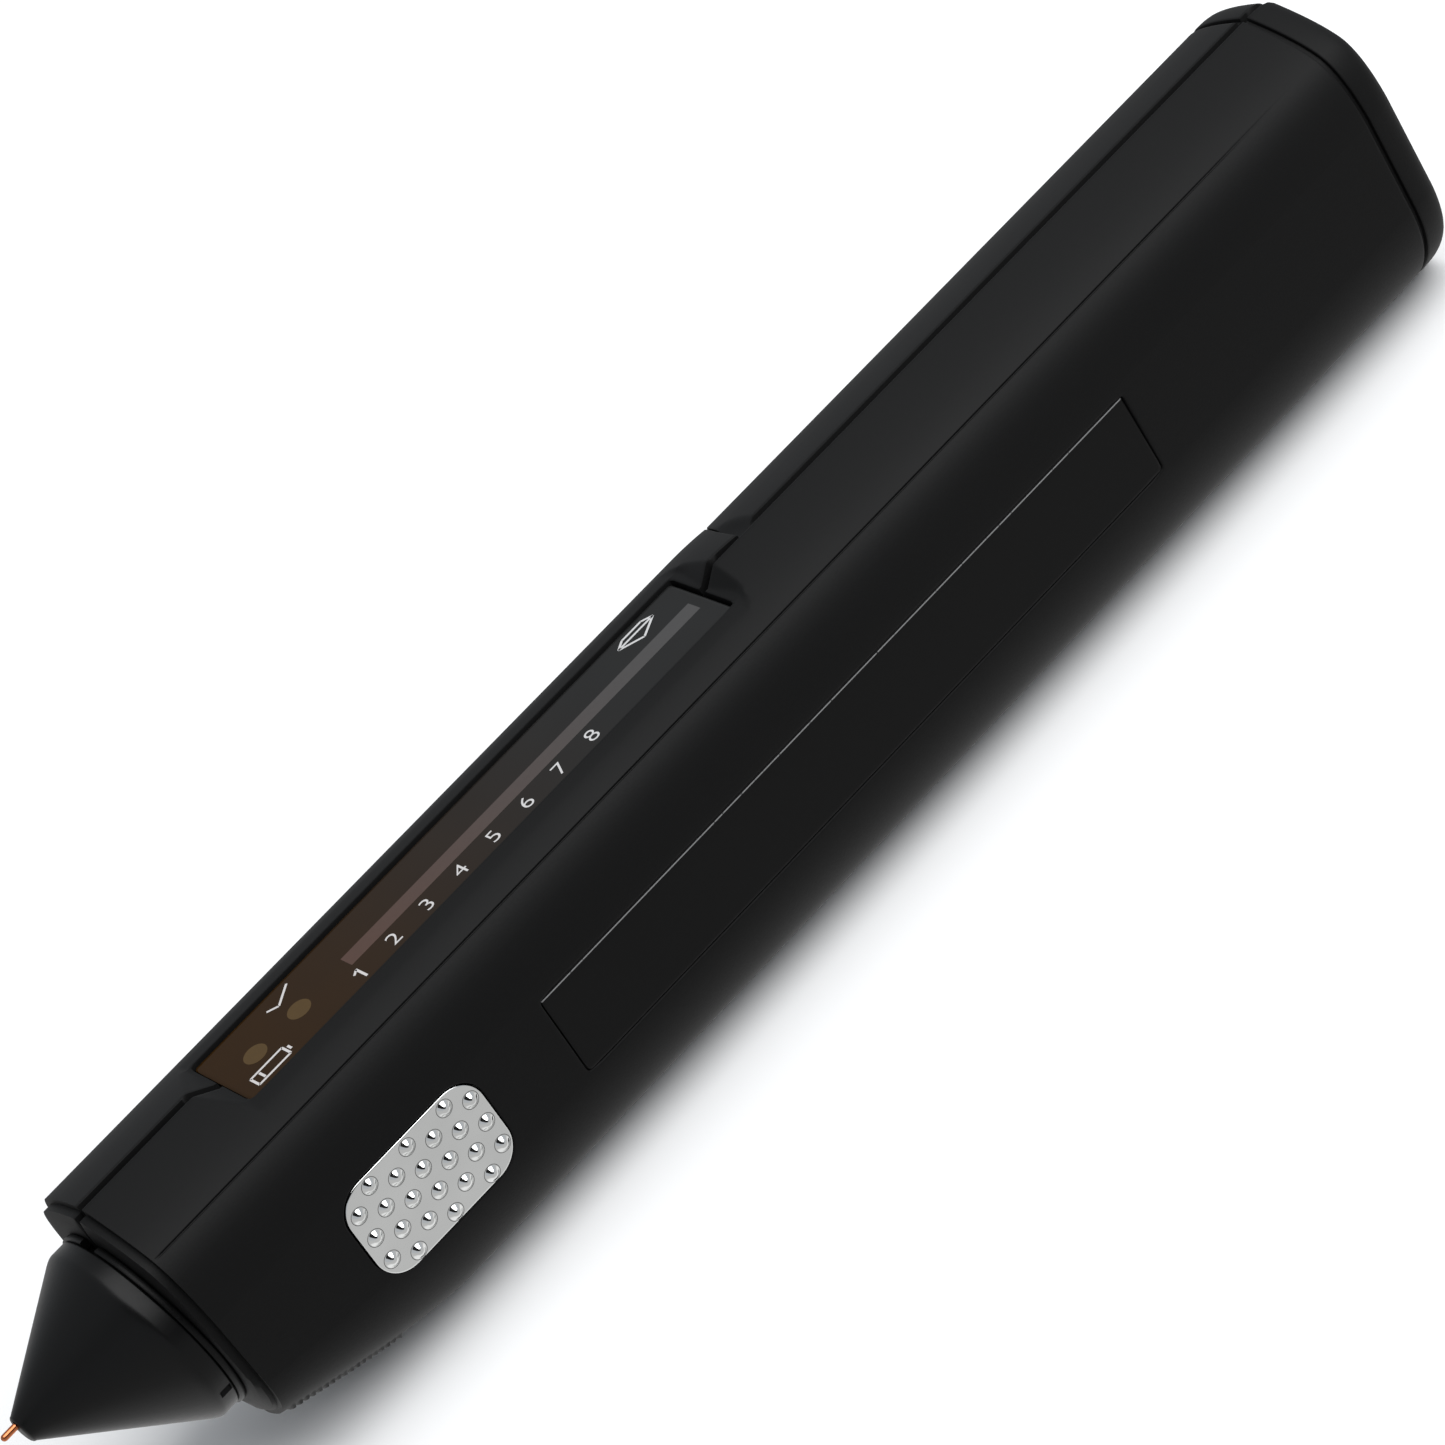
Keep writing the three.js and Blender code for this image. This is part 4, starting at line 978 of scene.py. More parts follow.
    def softened(self, x: Array, shell: Shell) -> Array:
        """Depth of the quarter round along the edges that meet at the cover's arc, and of the fall toward it.

        Args:
            x: grid of places along the body, before the arc moves them.
            shell: the shell they belong to.

        Returns:
            Depth at each point, none on the left half.
        """
        if shell.side is Side.LEFT:
            return np.zeros_like(x)
        away = np.abs(x - (shell.first if shell.sink else shell.last))
        share = np.clip(1 - away / self.arc_soft, 0, 1)
        fall, reach = (0.0, 1.0) if shell.sink else self.arc_fall
        return self.arc_soft * (1 - np.sqrt(1 - share**2)) + fall * np.clip(1 - away / reach, 0, 1) ** 2

    def crease_line(self, x: Array, s: Array) -> Array:
        """Depth of the hair-fine line along the crease, which runs out before the rear ring.

        Args:
            x: grid of places along the body.
            s: grid of lengths down the section.

        Returns:
            Depth at each point.
        """
        past = s - self.form.outline.over_crown(self.form.outline.crease[0])
        fade = np.interp(x, self.crease_run, [0, 1, 1, 0])
        return np.interp(past, self.crease_profile, [0, self.crease_depth, self.crease_depth, 0]) * fade

    def ribs(self, x: Array, points: Array) -> Array:
        """Height of the fine ribs across the chin, a row of small trapeziums along x.

        Args:
            x: grid of places along the body.
            points: the skin's points.

        Returns:
            Height at each point.
        """
        phase = (x - self.rib_start) / self.rib_pitch
        within = np.abs(phase - np.floor(phase) - 0.5) * self.rib_pitch / self.rib_width
        tooth = np.interp(within, self.rib_shares, [1.0, 0.75, 0.0])
        run = (phase > 0) & (phase < self.rib_count)
        half = np.interp(phase / self.rib_count, [0, 1], self.rib_half)
        side = np.clip((half - points[..., 1]) / self.rib_end + 0.5, 0, 1)
        return self.rib_height * tooth * run * side * (points[..., 2] > self.rib_drop)

    def sculpted_top(self, points: Array, gap: Array, shell: Shell) -> Array:
        """Sinks the trough, the window's pocket and the cover's thumb scoop into the crown.

        Args:
            points: the skin's points, changed in place.
            gap: distance to the window's pocket.
            shell: the shell they belong to.

        Returns:
            The same points.
        """
        x, y, drop = points[..., 0], points[..., 1], points[..., 2]
        seam = EDGE.sunk(y - shell.groove_half, self.groove_depth)
        deeper = soft_max(drop, self.trough.drop(x, y) + seam, self.trough_soft)
        if shell.sink:
            deeper = soft_max(deeper, self.scoop.drop(x, y), self.scoop_soft)
        room = np.where(gap < 0, np.clip(self.window_floor - deeper, 0, None), 1.0)
        pocket = deeper + EDGE.sunk(gap, 1.0) * room
        points[..., 2] = np.where(drop < self.crown_limit, pocket, drop)
        return points

    def inner(self, x: Array, s: Array, inset: float) -> Array:
        """Inner skin, with a thick roof left round the display.

        Args:
            x: grid of places along the body.
            s: grid of lengths down the section.
            inset: distance inside the body.

        Returns:
            Points as (x, y, drop), for the right-hand side.
        """
        points, _ = self.form.skin(np.maximum(x, self.form.collar_rear), s, inset)
        drop = points[..., 2]
        roofed = (x >= self.roof_x[0]) & (x <= self.roof_x[1]) & (drop < self.crown_limit)
        roofed &= s <= self.form.outline.over_crown(self.roof_half) + 1e-6
        points[..., 2] = np.where(roofed, np.maximum(drop, self.roof_depth), drop)
        return points

    def moulded(self, shell: Shell) -> Mesh:
        """The closed mesh of a shell, on its own side.

        Args:
            shell: the shell to be made.

        Returns:
            The mesh.
        """
        form, right = self.form, shell.side is Side.RIGHT
        rows, columns = self.length_lines(shell), self.section_lines(shell)
        x, s = np.meshgrid(rows, columns, indexing="ij")
        arc = self.cover_arc - np.sqrt(self.cover_arc**2 - np.abs(form.outline.at(s)[0]) ** 2)
        lead = 1 - np.clip(np.abs(x - self.cover_front) / self.arc_reach, 0, 1)
        swing = arc * lead * right
        outer = self.outer(x + swing, s, shell, self.softened(x, shell))
        inner = self.inner(x + swing, s, shell.sink + shell.wall)
        middles = np.meshgrid(*((line[1:] + line[:-1]) / 2 for line in (rows, columns)), indexing="ij")
        keep = self.window.distance(*middles) > -self.shelf
        keep &= self.pad.distance(*middles) > 0
        if right:
            keep &= self.button.distance(*middles) > 0
        if shell.first <= form.collar_front:
            outer, inner, keep = self.with_collar(columns, outer, inner, keep)
        if shell.last >= form.rear - SLACK:
            outer, inner, keep = self.with_cap(columns, outer, inner, keep, shell)
        mesh = thick_sheet(outer, inner, keep)
        return mesh if right else mesh.mirrored()

    def with_collar(self, s: Array, outer: Array, inner: Array, keep: Array) -> tuple[Array, Array, Array]:
        """Adds the collar's front face and its round hole ahead of the skins.

        Args:
            s: lengths down the section.
            outer: grid of the outer skin.
            inner: grid of the inner skin.
            keep: which cells stay.

        Returns:
            All three with two more rows at the front.
        """
        face, hole = (self.form.bore(s, x)[None] for x in (self.form.collar_front, self.form.collar_rear))
        outer = np.concatenate([hole, face, outer])
        inner = np.concatenate([inner[:1], inner[:1], inner])
        return outer, inner, np.concatenate([keep[:1], keep[:1], keep])

    def with_cap(
        self, s: Array, outer: Array, inner: Array, keep: Array, shell: Shell
    ) -> tuple[Array, Array, Array]:
        """Adds the rows that close the rear end.

        Args:
            s: lengths down the section.
            outer: grid of the outer skin.
            inner: grid of the inner skin.
            keep: which cells stay.
            shell: the shell they belong to.

        Returns:
            All three with more rows at the rear.
        """
        places = [*self.cap_rows, *reversed(shell.groove_lines())]
        rear = self.form.cap(s, places, shell.sink)
        rear[..., 0] -= EDGE.sunk(rear[..., 1] - shell.groove_half, self.groove_depth - shell.sink)
        outer = np.concatenate([outer, rear])
        inner = np.concatenate([inner, self.form.cap(s, places, shell.sink + shell.wall)])
        return outer, inner, np.concatenate([keep, np.ones((len(places), keep.shape[1]), bool)])

    def strip(self, front: float, top: float, thickness: float) -> Mesh:
        """A curved strip under the crown, from a place to the tongue's rear end.

        Args:
            front: its front end, from the cover's front edge.
            top: inset of its outer face.
            thickness: its own thickness.

        Returns:
            The closed mesh on the right-hand side.
        """
        rows = ruled([self.cover_front + front, self.cover_front + self.tongue_x[2]], 0.6)
        columns = ruled([self.form.outline.over_crown(y) for y in self.tongue_half], 0.3)
        x, s = np.meshgrid(rows, columns, indexing="ij")
        return thick_sheet(self.form.skin(x, s, top)[0], self.form.skin(x, s, top + thickness)[0])

    def build(self, black: Material, label: Material) -> None:
        """Makes the halves, the cover and the label plate.

        Args:
            black: finish of the mouldings.
            label: finish of the label plate.
        """
        start, front, end = self.form.collar_front, self.cover_front, self.form.rear
        left = Shell(Side.LEFT, start, end, 0.0, self.wall, self.groove_half)
        right = Shell(Side.RIGHT, start, front - self.cover_gap, 0.0, self.wall, self.groove_half)
        cover = Shell(Side.RIGHT, front, end, self.cover_sink, self.cover_wall, self.cover_groove_half)
        tongue = joined(
            self.strip(self.tongue_x[0], self.tongue_top, self.tongue_thickness),
            self.strip(self.tongue_x[1], self.root_top, self.root_thickness),
        )
        for name, mesh, body in (
            ("left_housing_shell", self.moulded(left), "casing"),
            ("right_housing_shell", self.moulded(right), "casing"),
            ("battery_cover_shell", joined(self.moulded(cover), tongue), "battery_cover"),
        ):
            fitted(piece(name, mesh, black), body, name.removesuffix("_shell"))
        plate = piece("side_label", self.label_plate(), label)
        fitted(plate, "casing", "side_label_plate")

    def label_plate(self) -> Mesh:
        """The flat plate let into the left flank, with softened edges.

        Returns:
            The closed mesh.
        """
        place = Opening(self.label_x, self.label_drop, self.plate_corner + self.plate_gap, 0.8)
        plate = Plate(place.grown(-self.plate_gap), (2.0, 0.6), EDGE.depth)
        return plate.mesh(-self.label_face, self.plate_thickness - self.label_face)


# Nose and probe


def turned(x: Array, drop: Array, radius: Array, angles: Array) -> Array:
    """Rings of a turned form: y = r cos a and drop = middle + r sin a.

    Args:
        x: place of each ring.
        drop: drop of each ring's middle.
        radius: radius of each ring.
        angles: angles round the ring.

    Returns:
        Points (rings, angles, 3).
    """
    y = radius[:, None] * np.cos(angles)
    z = drop[:, None] + radius[:, None] * np.sin(angles)
    return np.stack([np.broadcast_to(x[:, None], y.shape), y, z], -1)


@dataclass(frozen=True)
class Nose:
    """The oblique nose cone, its split ring and the copper probe."""

    tip_x: float = 1.5
    tip_drop: float = 10.41
    tip_radius: float = 1.11
    tip_round: float = 0.3
    base_x: float = 12.55
    base_drop: float = 12.03
    base_radius: float = 8.81
    shoulder: float = 0.6
    land_end: float = 14.2
    seat_end: float = 14.75
    seat_radius: float = 7.89
    spigot_radius: float = 7.14
    spigot_end: float = 16.9
    flange_radius: float = 8.1
    flange_end: float = 18.1
    bore_radius: float = 0.38
    bore_chamfer: float = 0.06
    chamber_x: float = 6.0
    chamber_radius: float = 2.0
    probe_drop: float = 9.77
    pin_radius: float = 0.29
    disc_radius: float = 1.1
    disc_x: Span = (6.05, 6.75)
    ring_x: Span = (14.26, 14.84)
    ring_radii: Span = (8.19, 9.0)
    ring_gap: float = 2.1
    ring_soft: float = 0.1
    mark_fall: float = 3.67
    mark_half: Span = (0.55, 0.15)
    mark_depth: float = 0.35
    sides: int = 112

    def front_rings(self) -> list[tuple[float, ...]]:
        """Rings of the blunt tip, the slope and the bend to the land, as (x, drop, radius).

        Returns:
            The rings from front to rear.
        """
        run = self.base_x - self.tip_x
        widen = (self.base_radius - self.tip_radius) / run
        rows: list[tuple[float, ...]] = []
        for turn in np.linspace(0, math.pi / 2, 6):
            grow = self.tip_radius - self.tip_round + (1 + widen) * self.tip_round * math.sin(turn)
            rows.append((self.tip_x + self.tip_round * (1 - math.cos(turn)), self.tip_drop, grow))
        back = self.shoulder / run * (self.base_drop - self.tip_drop)
        base = (self.base_x, self.base_drop, self.base_radius)
        end = (base[0] - self.shoulder, base[1] - back, base[2] - self.shoulder * widen)
        level = (base[0] + self.shoulder / 2, base[1], base[2])
        start = rows[-1]
        rows += [tuple(a + (b - a) * t for a, b in zip(start, end)) for t in np.linspace(0, 1, 15)[1:]]
        for t in np.linspace(0, 1, 7)[1:-1]:
            shares = (1 - t) ** 2, 2 * t * (1 - t), t * t
            rows.append(tuple(sum(k * v for k, v in zip(shares, values)) for values in zip(end, base, level)))
        return rows

    def cone(self) -> Mesh:
        """The cone as rings from the blunt tip back to the flange, and forward again through its bore.

        Returns:
            The closed mesh.
        """
        land_x = self.base_x + self.shoulder / 2
        middle = (land_x + self.land_end) / 2
        marks = [middle + self.mark_half[0] * k for k in (-1, -0.85, 0.85, 1)]
        land = ruled([land_x, *marks, self.land_end - 0.1], 0.3)
        outside = [(x, self.base_radius) for x in land] + [
            (self.land_end, self.base_radius - EDGE.depth),
            (self.land_end, self.seat_radius),
            (self.seat_end, self.seat_radius),
            (self.seat_end, self.spigot_radius),
            (self.spigot_end, self.spigot_radius),
            (self.spigot_end, self.flange_radius),
            (self.flange_end, self.flange_radius),
        ]
        bore = [
            (self.flange_end, self.chamber_radius),
            (self.chamber_x, self.chamber_radius),
            (self.chamber_x, self.bore_radius),
            (self.tip_x + self.bore_chamfer, self.bore_radius),
            (self.tip_x, self.bore_radius + self.bore_chamfer),
        ]
        rows = self.front_rings() + [(x, self.base_drop, r) for x, r in outside]
        rows += [(x, self.probe_drop, r) for x, r in bore]
        return self.marked(*np.array(rows).T, middle)

    def marked(self, x: Array, drop: Array, radius: Array, middle: float) -> Mesh:
        """Turns the rings, with a small mark let into both sides of the land.

        Args:
            x: place of each ring.
            drop: drop of each ring's middle.
            radius: radius of each ring.
            middle: place of the marks along the land.

        Returns:
            The closed mesh.
        """
        half, tall = self.mark_half[0], self.mark_half[1] / self.base_radius
        fall = math.asin(self.mark_fall / self.base_radius)
        near = [fall + tall * k for k in (-1.6, -1.0, -0.7, 0.7, 1.0, 1.6)]
        angles = ruled([0.0, *near, *(math.pi - a for a in near), 2 * math.pi], 2 * math.pi / self.sides)[:-1]
        rings = turned(x, drop, radius, angles)
        away = np.minimum(np.abs(angles - fall), np.abs(angles - (math.pi - fall))) - tall
        across = np.clip(-away / (0.3 * tall), 0, 1)[None, :]
        along = np.clip((half - np.abs(x - middle)) / (0.15 * half), 0, 1)[:, None]
        on_land = (np.abs(radius - self.base_radius) < SLACK)[:, None]
        depth = self.mark_depth * across * along * on_land
        rings[..., 1] -= depth * np.cos(angles)
        rings[..., 2] -= depth * np.sin(angles)
        return swept(rings, True)

    def split_ring(self) -> Mesh:
        """A thin ring with rounded corners to its section, open at the top.

        Returns:
            The closed mesh.
        """
        (front, rear), (inner, outer) = self.ring_x, self.ring_radii
        half = math.asin(self.ring_gap / 2 / outer)
        angles = np.linspace(-math.pi / 2 + half, 1.5 * math.pi - half, 161)
        cut, less = self.ring_soft, self.ring_soft * 0.3
        section = [
            (front, inner + cut),
            (front, outer - cut),
            (front + less, outer - less),
            (front + cut, outer),
            (rear - cut, outer),
            (rear - less, outer - less),
            (rear, outer - cut),
            (rear, inner + cut),
            (rear - cut, inner),
            (front + cut, inner),
        ]
        x, radius = np.array(section).T
        rings = turned(x, np.full_like(x, self.base_drop), radius, angles).swapaxes(0, 1)
        ends = [np.repeat(rings[k].mean(0)[None], len(section), 0)[None] for k in (0, -1)]
        return swept(np.concatenate([ends[0], rings, ends[1]]))

    def probe(self) -> Mesh:
        """The copper pin with its round point, and the disc that it stands on.

        Returns:
            The closed mesh.
        """
        r, (front, rear) = self.pin_radius, self.disc_x
        turns = np.linspace(0, math.pi / 2, 9)[1:]
        rows = [(0.0, 0.0), *((r * (1 - math.cos(turn)), r * math.sin(turn)) for turn in turns)]
        rows += [(x, r) for x in np.linspace(0.5, front, 12)]
        rows += [(front, self.disc_radius), (rear, self.disc_radius), (rear, 0.0)]
        x, radius = np.array(rows).T
        return swept(turned(x, np.full_like(x, self.probe_drop), radius, circle(32)))

    def build(self, black: Material, satin: Material, copper: Material) -> None:
        """Makes the cone, the ring and the probe.

        Args:
            black: finish of the cone.
            satin: finish of the ring.
            copper: finish of the probe.
        """
        fitted(piece("nose", self.cone(), black), "casing", "nose_cone")
        fitted(piece("nose_split_ring", self.split_ring(), satin), "casing", "nose_ring")
        fitted(piece("probe_pin", self.probe(), copper), "probe", "probe_tip")


# Display, pads and button


@dataclass(frozen=True)
class Display:
    """The smoked window with what is printed on it."""

    x: Span = (29.8, 83.74)
    half_width: float = 4.2
    corner: float = 0.4
    edge_soft: float = 0.05
    top: float = 1.68
    thickness: float = 1.7
    bar_x: Span = (43.1, 82.7)
    bar_y: float = -0.3
    bar_half: float = 0.81
    lamp_x: Span = (33.2, 38.0)
    lamp_y: float = -0.18
    lamp_radius: float = 1.05
    digit_first: float = 42.8
    digit_pitch: float = 3.72
    digit_y: float = -2.68
    digit_height: float = 1.62
    digit_share: float = 0.7
    digit_thinning: float = 0.02
    proud: float = 0.012
    film: float = 0.001
    stroke: float = 0.22
    battery: tuple[Span, ...] = ((31.2, -3.38), (34.6, -3.38), (34.6, -2.08), (31.2, -2.08), (31.2, -3.38))
    battery_nub: tuple[Span, ...] = ((34.95, -3.03), (34.95, -2.43))
    battery_level: tuple[Span, ...] = ((32.0, -3.18), (32.0, -2.28))
    tick: tuple[Span, ...] = ((36.6, 2.62), (37.5, 2.02), (39.4, 3.42))
    stone: tuple[Span, ...] = (
        (76.6, 2.82),
        (77.5, 3.42),
        (79.7, 3.42),
        (80.6, 2.82),
        (78.6, 1.62),
        (76.6, 2.82),
        (80.6, 2.82),
    )

    def window(self) -> Mesh:
        """The window: a flat plate with a fine polished edge."""
        place = Opening(self.x, (-self.half_width, self.half_width), self.corner, 0.8)
        return Plate(place, (2.0, 0.7), self.edge_soft).mesh(self.top, self.top + self.thickness, True)

    def flat_print(self, place: Opening, spacing: float) -> Mesh:
        """A thin printed patch on the window's face."""
        return Plate(place, (spacing, spacing)).mesh(self.top - self.proud, self.top - self.film, True)

    def lamps(self) -> Mesh:
        """Two round lamp places.

        Returns:
            Both as one mesh.
        """
        r, y = self.lamp_radius, self.lamp_y
        places = [Opening((x - r, x + r), (y - r, y + r), r - self.film, 0.5) for x in self.lamp_x]
        return joined(*(self.flat_print(place, 0.15) for place in places))

    def line(self, start: Span, end: Span) -> Mesh:
        """One straight stroke of even width between two places on the window's face.

        Args:
            start: its first end, as (x, y).
            end: its other end.

        Returns:
            The closed mesh.
        """
        a, b = np.array(start), np.array(end)
        along = (b - a) / np.hypot(*(b - a))
        side = np.array([-along[1], along[0]]) * self.stroke / 2
        grid = np.array([[a - side, a + side], [b - side, b + side]])
        face, back = (np.full((2, 2, 1), level) for level in (self.top - self.proud, self.top - self.film))
        return thick_sheet(np.concatenate([grid, face], -1), np.concatenate([grid, back], -1))

    def signs(self) -> Mesh:
        """Plain signs of a battery, a tick and a cut stone, and the scale's first number.

        Returns:
            All strokes as one mesh.
        """
        low, high = self.digit_y - self.digit_height / 2, self.digit_y + self.digit_height / 2
        right = self.digit_first + 0.1
        number = ((right, low), (right, high)), ((right, high - 0.05), (right - 0.5, high - 0.45))
        paths = (self.battery, self.battery_nub, self.battery_level, self.tick, self.stone, *number)
        return joined(*(self.line(a, b) for path in paths for a, b in zip(path, path[1:])))

    def digit(self, number: int) -> bpy.types.Object:
        """A text object of one number, still at the origin.

        Args:
            number: the number that it shows.

        Returns:
            The object.
        """
        curve = bpy.data.curves.new("digit", "FONT")
        curve.body = str(number)
        curve.align_x, curve.align_y = "CENTER", "CENTER"
        curve.size = self.digit_height * MM / self.digit_share
        curve.offset = -self.digit_thinning * MM
        curve.extrude = self.proud * MM / 2
        curve.resolution_u = 6
        return linked("digit", curve)

    def digits(self, ink: Material) -> bpy.types.Object:
        """The numbers 2 to 8 beside the bar, their tops toward the right-hand side.

        Args:
            ink: their finish.

        Returns:
            One object with all of them.
        """
        marks = [(k, self.digit(k + 1)) for k in range(1, 8)]
        bpy.context.view_layer.update()
        graph = bpy.context.evaluated_depsgraph_get()
        whole = bmesh.new()
        for k, item in marks:
            flat = bpy.data.meshes.new_from_object(item.evaluated_get(graph))
            x = self.digit_first + k * self.digit_pitch
            place = placed(np.array([x, self.digit_y, self.top - self.proud / 2]))
            flat.transform(Matrix.Translation(place))
            whole.from_mesh(flat)
            bpy.data.objects.remove(item)
        bmesh.ops.remove_doubles(whole, verts=whole.verts, dist=MERGE)
        data = bpy.data.meshes.new("window_digits")
        whole.to_mesh(data)
        whole.free()
        data.materials.clear()
        data.materials.append(ink)
        return linked("window_digits", data)

    def build(self, glass: Material, bar: Material, lamp: Material, ink: Material) -> None:
        """Makes the window and its prints.

        Args:
            glass: finish of the window.
            bar: finish of the light bar's print.
            lamp: finish of the lamp places.
            ink: finish of signs and numbers.
        """
        fitted(piece("window_pane", self.window(), glass), "casing", "display_window")
        strip = Opening(self.bar_x, (self.bar_y - self.bar_half, self.bar_y + self.bar_half), 0.02, 0.5)
        for made in (
            piece("window_bar", self.flat_print(strip, 1.0), bar),
            piece("window_lamps", self.lamps(), lamp),
            piece("window_signs", self.signs(), ink),
            self.digits(ink),
        ):
            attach(made, "casing")


def flanged(cap: Plate, face: Height, flange: float, heights: Span, spacing: float) -> Mesh:
    """A cap with a wider flange behind it, facing the right-hand side.

    Args:
        cap: plate of the cap.
        face: height of the cap's face.
        flange: how far the flange stands out past the cap.
        heights: flange's back and face.
        spacing: widest gap between the flange's grid lines.

    Returns:
        Both, the cap let a hair into the flange.
    """
    back, front = heights
    foot = Plate(cap.place.grown(flange), (spacing, spacing))
    return joined(cap.mesh(face, front - SLACK), foot.mesh(front, back))


@dataclass(frozen=True)
class Pads:
    """Bumped contact pads on both flanks."""

    x: Span = (28.2, 42.68)
    drop: Span = (9.58, 18.86)
    corner: float = 2.7
    edge_soft: float = 0.09
    face: float = 10.11
    flange: float = 1.0
    flange_heights: Span = (7.34, 7.94)
    bump_tip: float = 0.55
    bump_height: float = 0.425
    bump_slope: float = 0.93
    bump_foot: float = 0.72
    bump_sides: int = 40
    first: Span = (1.16, 0.97)
    pitch: float = 4.09
    row_step: float = 1.247
    rows: int = 7
    # Dark rings of painted shade round the bumps' feet: their width, how proud they stand, and their seat
    ring_width: float = 0.045
    ring_proud: float = 0.005
    ring_seat: Span = (-0.01, -0.02)

    def places(self) -> Array:
        """Middles of the bumps: rows of three and four in turn.

        Returns:
            The middles as (x, drop).
        """
        found = []
        for row in range(self.rows):
            full = row % 2
            x = self.x[0] + self.first[0] + (0 if full else self.pitch / 2)
            drop = self.drop[0] + self.first[1] + row * self.row_step
            found += [(x + i * self.pitch, drop) for i in range(3 + full)]
        return np.array(found)

    def raised(self, place: Array, far: Array, high: Array) -> Mesh:
        """A round form on the pad's face.

        Args:
            place: its middle, as (x, drop).
            far: distance of each ring from the middle.
            high: height of each ring over the face.

        Returns:
            The mesh over its rings.
        """
        angles = circle(self.bump_sides)
        across = place[0] + far[:, None] * np.cos(angles)
        down = place[1] + far[:, None] * np.sin(angles)
        return swept(np.stack([across, np.broadcast_to(self.face + high[:, None], across.shape), down], -1))

    def bump(self, place: Array) -> Mesh:
        """One round bump: a cone with a round tip that runs out in a small fillet.

        The tip's height at a distance d from its middle is
        height - tip + sqrt(tip^2 - d^2), up to where it falls as the cone does.
        The fillet is the quadratic curve from the cone to the foot.

        Args:
            place: its middle, as (x, drop).

        Returns:
            The mesh, whose foot reaches a little into the pad.
        """
        out = self.bump_tip * np.sin(np.linspace(0, math.atan(self.bump_slope), 8))
        cap = self.bump_height - self.bump_tip + np.sqrt(self.bump_tip**2 - out**2)
        meet = out[-1] + cap[-1] / self.bump_slope
        low = 2 * meet - self.bump_foot
        t = np.linspace(0, 1, 6)[:, None]
        start, foot = np.array([low, (meet - low) * self.bump_slope]), np.array([self.bump_foot, 0.0])
        fillet = (1 - t) ** 2 * start + 2 * t * (1 - t) * np.array([meet, 0.0]) + t * t * foot
        far = np.concatenate([out, fillet[:, 0], [self.bump_foot, 0.0]])
        return self.raised(place, far, np.concatenate([cap, fillet[:, 1], [-0.05, -0.05]]))

    def shade_rings(self) -> Mesh:
        """Fine dark rings round the feet of the right-hand pad's bumps, a hair proud of the plate: painted
        shade for the fold where each bump meets the plate.

        Returns:
            All rings as one mesh.
        """
        inner, low = self.ring_seat
        far = self.bump_foot + np.array([inner, inner, self.ring_width, self.ring_width, inner])
        high = np.array([low, self.ring_proud, self.ring_proud, low, low])
        return joined(*(self.raised(place, far, high) for place in self.places()))

    def pad(self) -> Mesh:
        """The right-hand pad: a flat plate with softened edges, its bumps and its flange.

        Returns:
            Plate, flange and bumps as one mesh.
        """
        cap = Plate(Opening(self.x, self.drop, self.corner, 0.6), (0.3, 0.3), self.edge_soft)
        base = flanged(cap, self.face, self.flange, self.flange_heights, 0.8)
        return joined(base, *(self.bump(place) for place in self.places()))

    def build(self, silver: Material, painted_shade_finish: Material) -> None:
        """Makes both pads.

        Args:
            silver: finish of the pads.
            painted_shade_finish: dark finish of the rings round the bumps, which paint the shade at their
                feet.
        """
        pad, rings = self.pad(), self.shade_rings()
        # Painted shade: dark rings round the bumps' feet, on both pads
        for side, mesh in (("left", rings.mirrored()), ("right", rings)):
            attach(piece(f"{side}_bumps_painted_shade", mesh, painted_shade_finish), "casing")
        for side, mesh in (("left", pad.mirrored()), ("right", pad)):
            made = piece(f"{side}_bumped_pad", mesh, silver)
            fitted(made, "casing", f"{side}_contact_pad")


@dataclass(frozen=True)
class PowerButton:
    """The oval button on the right flank."""

    x: Span = (50.0, 58.0)
    drop: Span = (8.1, 12.1)
    edge_soft: float = 0.1
    flange_heights: Span = (7.34, 7.94)
    flange: float = 0.8
    face: float = 10.38
    crown: float = 0.08

    def button(self) -> Mesh:
        """A softly domed oval cap on a flange.

        Returns:
            Cap and flange as one mesh.
        """
        place = Opening(self.x, self.drop, (self.drop[1] - self.drop[0]) / 2 - 0.02, 0.6)
        half_x, half_drop = place.half

        def face(x: Array, drop: Array) -> Array:
            """Height of the cap, falling with the square of the distance from its middle."""
            far = ((x - sum(self.x) / 2) / half_x) ** 2 + ((drop - sum(self.drop) / 2) / half_drop) ** 2
            return self.face - self.crown * far

        cap = Plate(place, (0.25, 0.25), self.edge_soft)
        return flanged(cap, face, self.flange, self.flange_heights, 0.5)

    def build(self, black: Material) -> None:
        """Makes the button."""
        made = piece("power_button_cap", self.button(), black)
        fitted(made, "power_button", "power_button")


# Finishes


class Value:
    """One output of a shader, on which arithmetic adds Math nodes."""

    def __init__(self, shader: "Shader", socket: bpy.types.NodeSocket) -> None:
        """Wraps a socket of a shader."""
        self.shader, self.socket = shader, socket

    def _math(self, operation: str, first: "Value | float", second: "Value | float") -> "Value":
        """Adds a Math node on two values."""
        made = self.shader.node("ShaderNodeMath", {"operation": operation}, {0: first, 1: second})
        return Value(self.shader, made.outputs[0])

    def __add__(self, other: "Value | float") -> "Value":
        """Sum."""
        return self._math("ADD", self, other)

    def __sub__(self, other: "Value | float") -> "Value":
        """Difference."""
        return self._math("SUBTRACT", self, other)

    def __rsub__(self, other: "Value | float") -> "Value":
        """Difference from a number."""
        return self._math("SUBTRACT", other, self)

    def __mul__(self, other: "Value | float") -> "Value":
        """Product."""
        return self._math("MULTIPLY", self, other)

    def __pow__(self, other: "Value | float") -> "Value":
        """Power."""
        return self._math("POWER", self, other)

    __radd__ = __add__
    __rmul__ = __mul__


